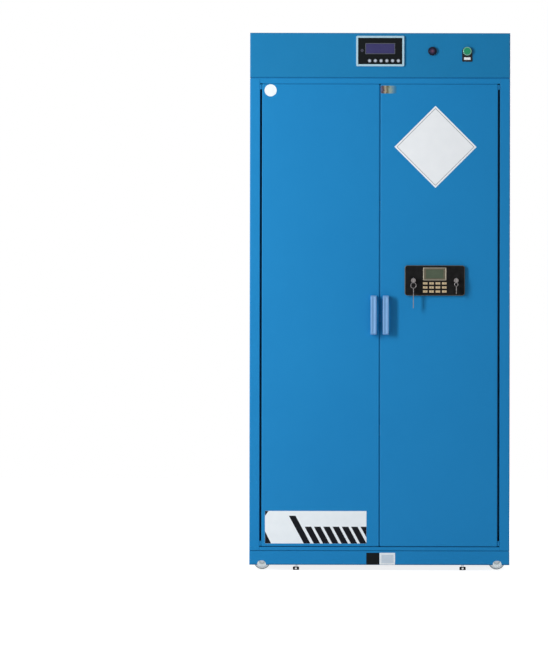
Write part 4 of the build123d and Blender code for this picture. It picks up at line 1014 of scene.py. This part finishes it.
def cloth_finish():
    cloth = Finish("filter_cloth")
    x, _, z = cloth.axes()
    weave = x.zigzag(THREAD) * z.zigzag(THREAD)
    lint = cloth.noise(90.0, 4.0)
    return cloth.surface(
        Base_Color=cloth.mix(weave * 0.6 + lint * 0.4, tone(70, 72, 76), tone(112, 114, 118)),
        Roughness=0.85 + lint * 0.1,
        Specular_IOR_Level=0.1,
        Normal=cloth.bump(weave, 0.3, 0.4 * MM),
    )


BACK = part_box("back_panel")[1].y
plate("vent_filter_cloth", [rounded((0.0, CLOTH_Z), (CLOTH_W, CLOTH_H), corner=4.0 * MM)],
      BACK - SHEET, CLOTH_T, cloth_finish(), "cabinet", rim=0.5 * MM)
print("cloth", [round(size / MM) for size in (CLOTH_W, CLOTH_H)], "mm")

# %% [markdown]
# ## Screws
#
# Sheet-metal boxes are held with rows of pan-head screws. Only their place differs, so one Geometry Nodes
# tree puts a head with a cross recess on every vertex of a small mesh of points. The turn of the heads is an
# input: the same tree serves the sides, the back and the inside of the doors. The recess is marked by an
# attribute, and the marked faces get a second, darker material, which is painted shade in the recess.

# %% A recipe for pan-head screws
# A dark colour for the cross recess: painted shade.
recess_painted_shade = moulded("screw_recess_shadow", tone(30, 31, 33), tone(22, 23, 25),
                     roughness=0.6, grain=900.0, depth=0.05)


def cross_head(tree):
    """One head with a cross recess that is marked for the second material."""
    size, tall = tree.given("Radius"), tree.given("Height")
    head = tree.add("GeometryNodeMeshCone", None, {
        "Vertices": 20, "Radius Top": size * 0.72, "Radius Bottom": size, "Depth": tall}, "Mesh")
    lift = tree.add("ShaderNodeCombineXYZ", None, {"Z": tall})
    slots = []
    for along, across in ((1.05, 0.24), (0.24, 1.05)):
        shape = tree.add("ShaderNodeCombineXYZ", None, {
            "X": size * along, "Y": size * across, "Z": tall * 0.12})
        block = tree.add("GeometryNodeMeshCube", None, {"Size": shape})
        raised = tree.add("GeometryNodeTransform", None, {"Geometry": block, "Translation": lift})
        slots.append(tree.add("GeometryNodeStoreNamedAttribute", {"data_type": "BOOLEAN", "domain": "FACE"},
                              {"Geometry": raised, "Name": "recess", "Value": True}))
    return tree.add("GeometryNodeJoinGeometry", None, {0: [*slots, head]})


def screw_heads(name, points, turn, radius, body):
    tree = Recipe(f"{name}_tree", Turn=turn, Radius=radius, Height=radius * 0.45)
    placed = tree.add("GeometryNodeInstanceOnPoints", None, {
        "Points": tree.given("Geometry"), "Instance": cross_head(tree), "Rotation": tree.given("Turn")})
    recess = tree.add("GeometryNodeInputNamedAttribute", {"data_type": "BOOLEAN"}, {"Name": "recess"})
    tree.close(placed, zinc, recess_painted_shade, recess)
    mesh = tree.mesh(name, points)
    print(name, len(points), "heads,", len(mesh.polygons), "faces")
    return riding(name, mesh, body)


def even(low, high, count):
    """Places at an even pitch, both ends included."""
    return [low + (high - low) * i / (count - 1) for i in range(count)]


print("screw recipe ready")

# %% [markdown]
# ## Screws on the back and the header
#
# The back panel is screwed down along its edges, the header's cover along its lower hem, and four screws
# hold the fan. All places are counted from the edges of the sheets, so they follow when a sheet grows.

# %% Back and header screws
TO_BACK, TO_LEFT, TO_RIGHT = (-math.pi / 2, 0.0, 0.0), (0.0, -math.pi / 2, 0.0), (0.0, math.pi / 2, 0.0)
PANEL_HEAD, COVER_HEAD = mm(4.0, 3.5)
PANEL_EDGE, PANEL_INSET = mm(16.0, 110.0)
COVER_HEM, COVER_INSET = mm(10.0, 40.0)
FAN_HOLE = 52.5 * MM
back_low, back_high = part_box("back_panel")
cover_low, cover_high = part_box("header_cover")
fan_middle = middle_of("fan_housing")
hem_z = cover_low.z + COVER_HEM
panel_ends = (back_low.z + PANEL_EDGE, back_high.z - PANEL_EDGE)
panel_sides = (back_low.x + PANEL_EDGE, back_high.x - PANEL_EDGE)
back_points = [(x, BACK, z) for z in even(*panel_ends, 9) for x in panel_sides]
back_points += [(x, BACK, z) for x in even(back_low.x + PANEL_INSET, back_high.x - PANEL_INSET, 5)
                for z in panel_ends]
screw_heads("back_panel_screws", back_points, TO_BACK, PANEL_HEAD, "cabinet")
cover_points = [(fan_middle.x + sx * FAN_HOLE, BACK, fan_middle.z + sz * FAN_HOLE)
                for sx in (-1, 1) for sz in (-1, 1)]
cover_points += [(x, BACK, hem_z) for x in even(cover_low.x + COVER_INSET, cover_high.x - COVER_INSET, 5)]
screw_heads("header_back_screws", cover_points, TO_BACK, COVER_HEAD, "cabinet")
side_ys = even(cover_low.y + COVER_INSET, cover_high.y - COVER_INSET, 4)
screw_heads("header_left_screws", [(cover_low.x, y, hem_z) for y in side_ys], TO_LEFT, COVER_HEAD, "cabinet")
screw_heads("header_right_screws", [(cover_high.x, y, hem_z) for y in side_ys], TO_RIGHT, COVER_HEAD,
            "cabinet")

# %% [markdown]
# ## Screws inside the doors
#
# Each door's liner is screwed to its skin in two rows. They show when a door is open, and they ride on
# the door, so each door has a mesh of its own from the same recipe.

# %% Door liner screws
LINER_HEAD = 3.0 * MM
LINER_EDGE, LINER_INSET = mm(24.0, 60.0)
for side in ("left", "right"):
    low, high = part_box(f"door_{side}_liner")
    rows = even(low.z + LINER_INSET, high.z - LINER_INSET, 9)
    spots = [(x, low.y + SHEET, z) for z in rows for x in (low.x + LINER_EDGE, high.x - LINER_EDGE)]
    screw_heads(f"door_{side}_liner_screws", spots, TO_BACK, LINER_HEAD, f"door_{side}")

# %% [markdown]
# ## The fan's finger guard
#
# Behind the exhaust slots a wire guard keeps fingers from the blades: rings at an even pitch, joined by
# four spokes. Rings and spokes come from one tree. The rings are one circle on a row of points, each
# scaled by its number, the spokes are one line on another row, each turned by its number, and all are
# swept with a round wire.

# %% Finger guard
GUARD_BACK = 1.2 * MM
guard = Recipe("guard_wires", Rings=5, First=14.0 * MM, Step=10.0 * MM, Spokes=4, Reach=57.0 * MM,
               Wire=0.8 * MM)
number = guard.add("GeometryNodeInputIndex")
ring_points = guard.add("GeometryNodePoints", None, {"Count": guard.given("Rings")})
ring = guard.add("GeometryNodeCurvePrimitiveCircle", None, {"Resolution": 48, "Radius": 1.0})
rings = guard.add("GeometryNodeInstanceOnPoints", None, {
    "Points": ring_points, "Instance": ring, "Scale": number * guard.given("Step") + guard.given("First")})
start = guard.add("ShaderNodeCombineXYZ", None, {"X": guard.given("First")})
end = guard.add("ShaderNodeCombineXYZ", None, {"X": guard.given("Reach")})
spoke = guard.add("GeometryNodeCurvePrimitiveLine", None, {"Start": start, "End": end})
turn = guard.add("ShaderNodeCombineXYZ", None, {"Z": (number + 0.5) * 2.0 * math.pi / guard.given("Spokes")})
spoke_points = guard.add("GeometryNodePoints", None, {"Count": guard.given("Spokes")})
spokes = guard.add("GeometryNodeInstanceOnPoints", None, {
    "Points": spoke_points, "Instance": spoke, "Rotation": turn})
joined = guard.add("GeometryNodeJoinGeometry", None, {0: [rings, spokes]})
paths = guard.add("GeometryNodeRealizeInstances", None, {"Geometry": joined})
profile = guard.add("GeometryNodeCurvePrimitiveCircle", None, {
    "Resolution": 8, "Radius": guard.given("Wire")})
guard.close(guard.add("GeometryNodeCurveToMesh", None, {"Curve": paths, "Profile Curve": profile}), zinc)
guard_place = (fan_middle.x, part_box("fan_housing")[1].y - GUARD_BACK, fan_middle.z)
guard_mesh = guard.mesh("fan_guard_rings", turn=Matrix.Translation(guard_place) @ FACING_FRONT)
finished("fan_guard_rings", guard_mesh, zinc, "cabinet")
print("guard:", len(guard_mesh.polygons), "faces")

# %% [markdown]
# ## Floor and background
#
# The photograph has a plain white ground. The floor is pale, and to the camera it also glows, so that it
# reads as white and still takes a soft shadow. The world is white to the camera as well, but it lights
# the cabinet at a lower level, where a colour renders about as it is written.

# %% Floor and world
WHITE = (1.0, 1.0, 1.0, 1.0)
FLOOR_REACH = 7.0
FLOOR_GLOW, GLOW_SHARE = 2.10, 0.40
FILL = 0.36


def seen_rays(tree):
    """1 for the rays that the camera sees, directly, in a reflection or through glass."""
    camera_ray, glossy, through = [tree.add("ShaderNodeLightPath", None, None, f"Is {kind} Ray")
                                   for kind in ("Camera", "Glossy", "Transmission")]
    return camera_ray.most(glossy).most(through)


def floor_finish():
    ground = Finish("pale_floor")
    speck = ground.noise(60.0, 2.0)
    pale = ground.mix(speck, (0.80, 0.80, 0.80, 1.0), (0.83, 0.83, 0.83, 1.0))
    matt = ground.add("ShaderNodeBsdfDiffuse", None, {"Color": pale})
    glow = ground.add("ShaderNodeEmission", None, {"Color": WHITE, "Strength": FLOOR_GLOW})
    both = ground.add("ShaderNodeMixShader", None, {0: seen_rays(ground) * GLOW_SHARE, 1: matt, 2: glow})
    ground.add("ShaderNodeOutputMaterial", None, {"Surface": both})
    return ground.material


floor_mesh = bpy.data.meshes.new("floor")
floor_corners = [(sx * FLOOR_REACH, sy * FLOOR_REACH, 0.0) for sx, sy in ((-1, -1), (1, -1), (1, 1), (-1, 1))]
floor_mesh.from_pydata(floor_corners, [], [(0, 1, 2, 3)])
floor_mesh.materials.append(floor_finish())
floor = bpy.data.objects.new("floor", floor_mesh)
bpy.context.scene.collection.objects.link(floor)

world = bpy.data.worlds.new("studio")
bpy.context.scene.world = world
world.use_nodes = True
sky = Tree(world.node_tree)
sky.tree.nodes.clear()
fill = sky.add("ShaderNodeBackground", None, {"Color": WHITE, "Strength": FILL})
ground_white = sky.add("ShaderNodeBackground", None, {"Color": WHITE, "Strength": 1.0})
studio = sky.add("ShaderNodeMixShader", None, {0: seen_rays(sky), 1: fill, 2: ground_white})
sky.add("ShaderNodeOutputWorld", None, {"Surface": studio})
print("floor", round(2 * FLOOR_REACH), "m wide, fill light at", FILL)

# %% [markdown]
# ## Lamps
#
# A tall soft lamp to the left of the camera gives the shadows of the handles and keys. A second, square
# one behind the cabinet on the right is unseen in the main picture and lights the back, so that the
# vents and screws there don't drown in shade.

# %% Key lamp and back lamp
low, high = [Vector(corner) for corner in cad_box]
aim = Vector((0.0, FRONT, (low.z + high.z) / 2))


def soft_lamp(name, direction, distance, size, power):
    light = bpy.data.lights.new(name, "AREA")
    light.shape = "RECTANGLE"
    light.size, light.size_y = size
    light.energy = power
    holder = bpy.data.objects.new(name, light)
    bpy.context.scene.collection.objects.link(holder)
    holder.location = aim + Vector(direction).normalized() * distance
    holder.rotation_euler = (aim - holder.location).to_track_quat("-Z", "Y").to_euler()
    return holder


lamps = [
    soft_lamp("tall_key_lamp", (-33.0, -29.0, 11.0), distance=3.6, size=(0.6, 2.0), power=104.0),
    soft_lamp("back_fill_lamp", (24.0, 33.0, 8.0), distance=4.0, size=(1.6, 1.6), power=75.0),
]
print("lamps:", [lamp.name for lamp in lamps])

# %% [markdown]
# ## Camera
#
# The photograph was taken from far away with a long lens: the cabinet's sides hardly show. The camera
# stands straight before it, and the lens is worked out from the size of a pixel on the cabinet's front.
# The cabinet isn't in the middle of the picture. Turning the camera there would slant its edges, so the
# picture plane is shifted instead, and a small lean follows that of the photograph.

# %% Camera
PICTURE = (548, 659)
PIXEL = 3.4585 * MM
AXIS_PIXEL = (379.76, 301.53)
LEAN = math.radians(-0.105)
DISTANCE = 14.0
CAMERA_Z = 931.0 * MM
SENSOR = 36.0
camera_data = bpy.data.cameras.new("camera")
camera_data.sensor_fit = "VERTICAL"
camera_data.sensor_height = SENSOR
camera_data.lens = SENSOR * DISTANCE / (PICTURE[1] * PIXEL)
camera_data.shift_x = -(AXIS_PIXEL[0] - PICTURE[0] / 2) / PICTURE[1]
camera_data.shift_y = -(PICTURE[1] / 2 - AXIS_PIXEL[1]) / PICTURE[1]
camera_data.clip_end = 100.0
camera = bpy.data.objects.new("camera", camera_data)
bpy.context.scene.collection.objects.link(camera)
camera.location = (0.0, FRONT - DISTANCE, CAMERA_Z)
camera.rotation_euler = (math.pi / 2, LEAN, 0.0)
bpy.context.scene.camera = camera
bpy.context.scene.view_settings.view_transform = "Standard"
print("camera:", round(camera_data.lens, 1), "mm lens at", round(DISTANCE, 1), "m")
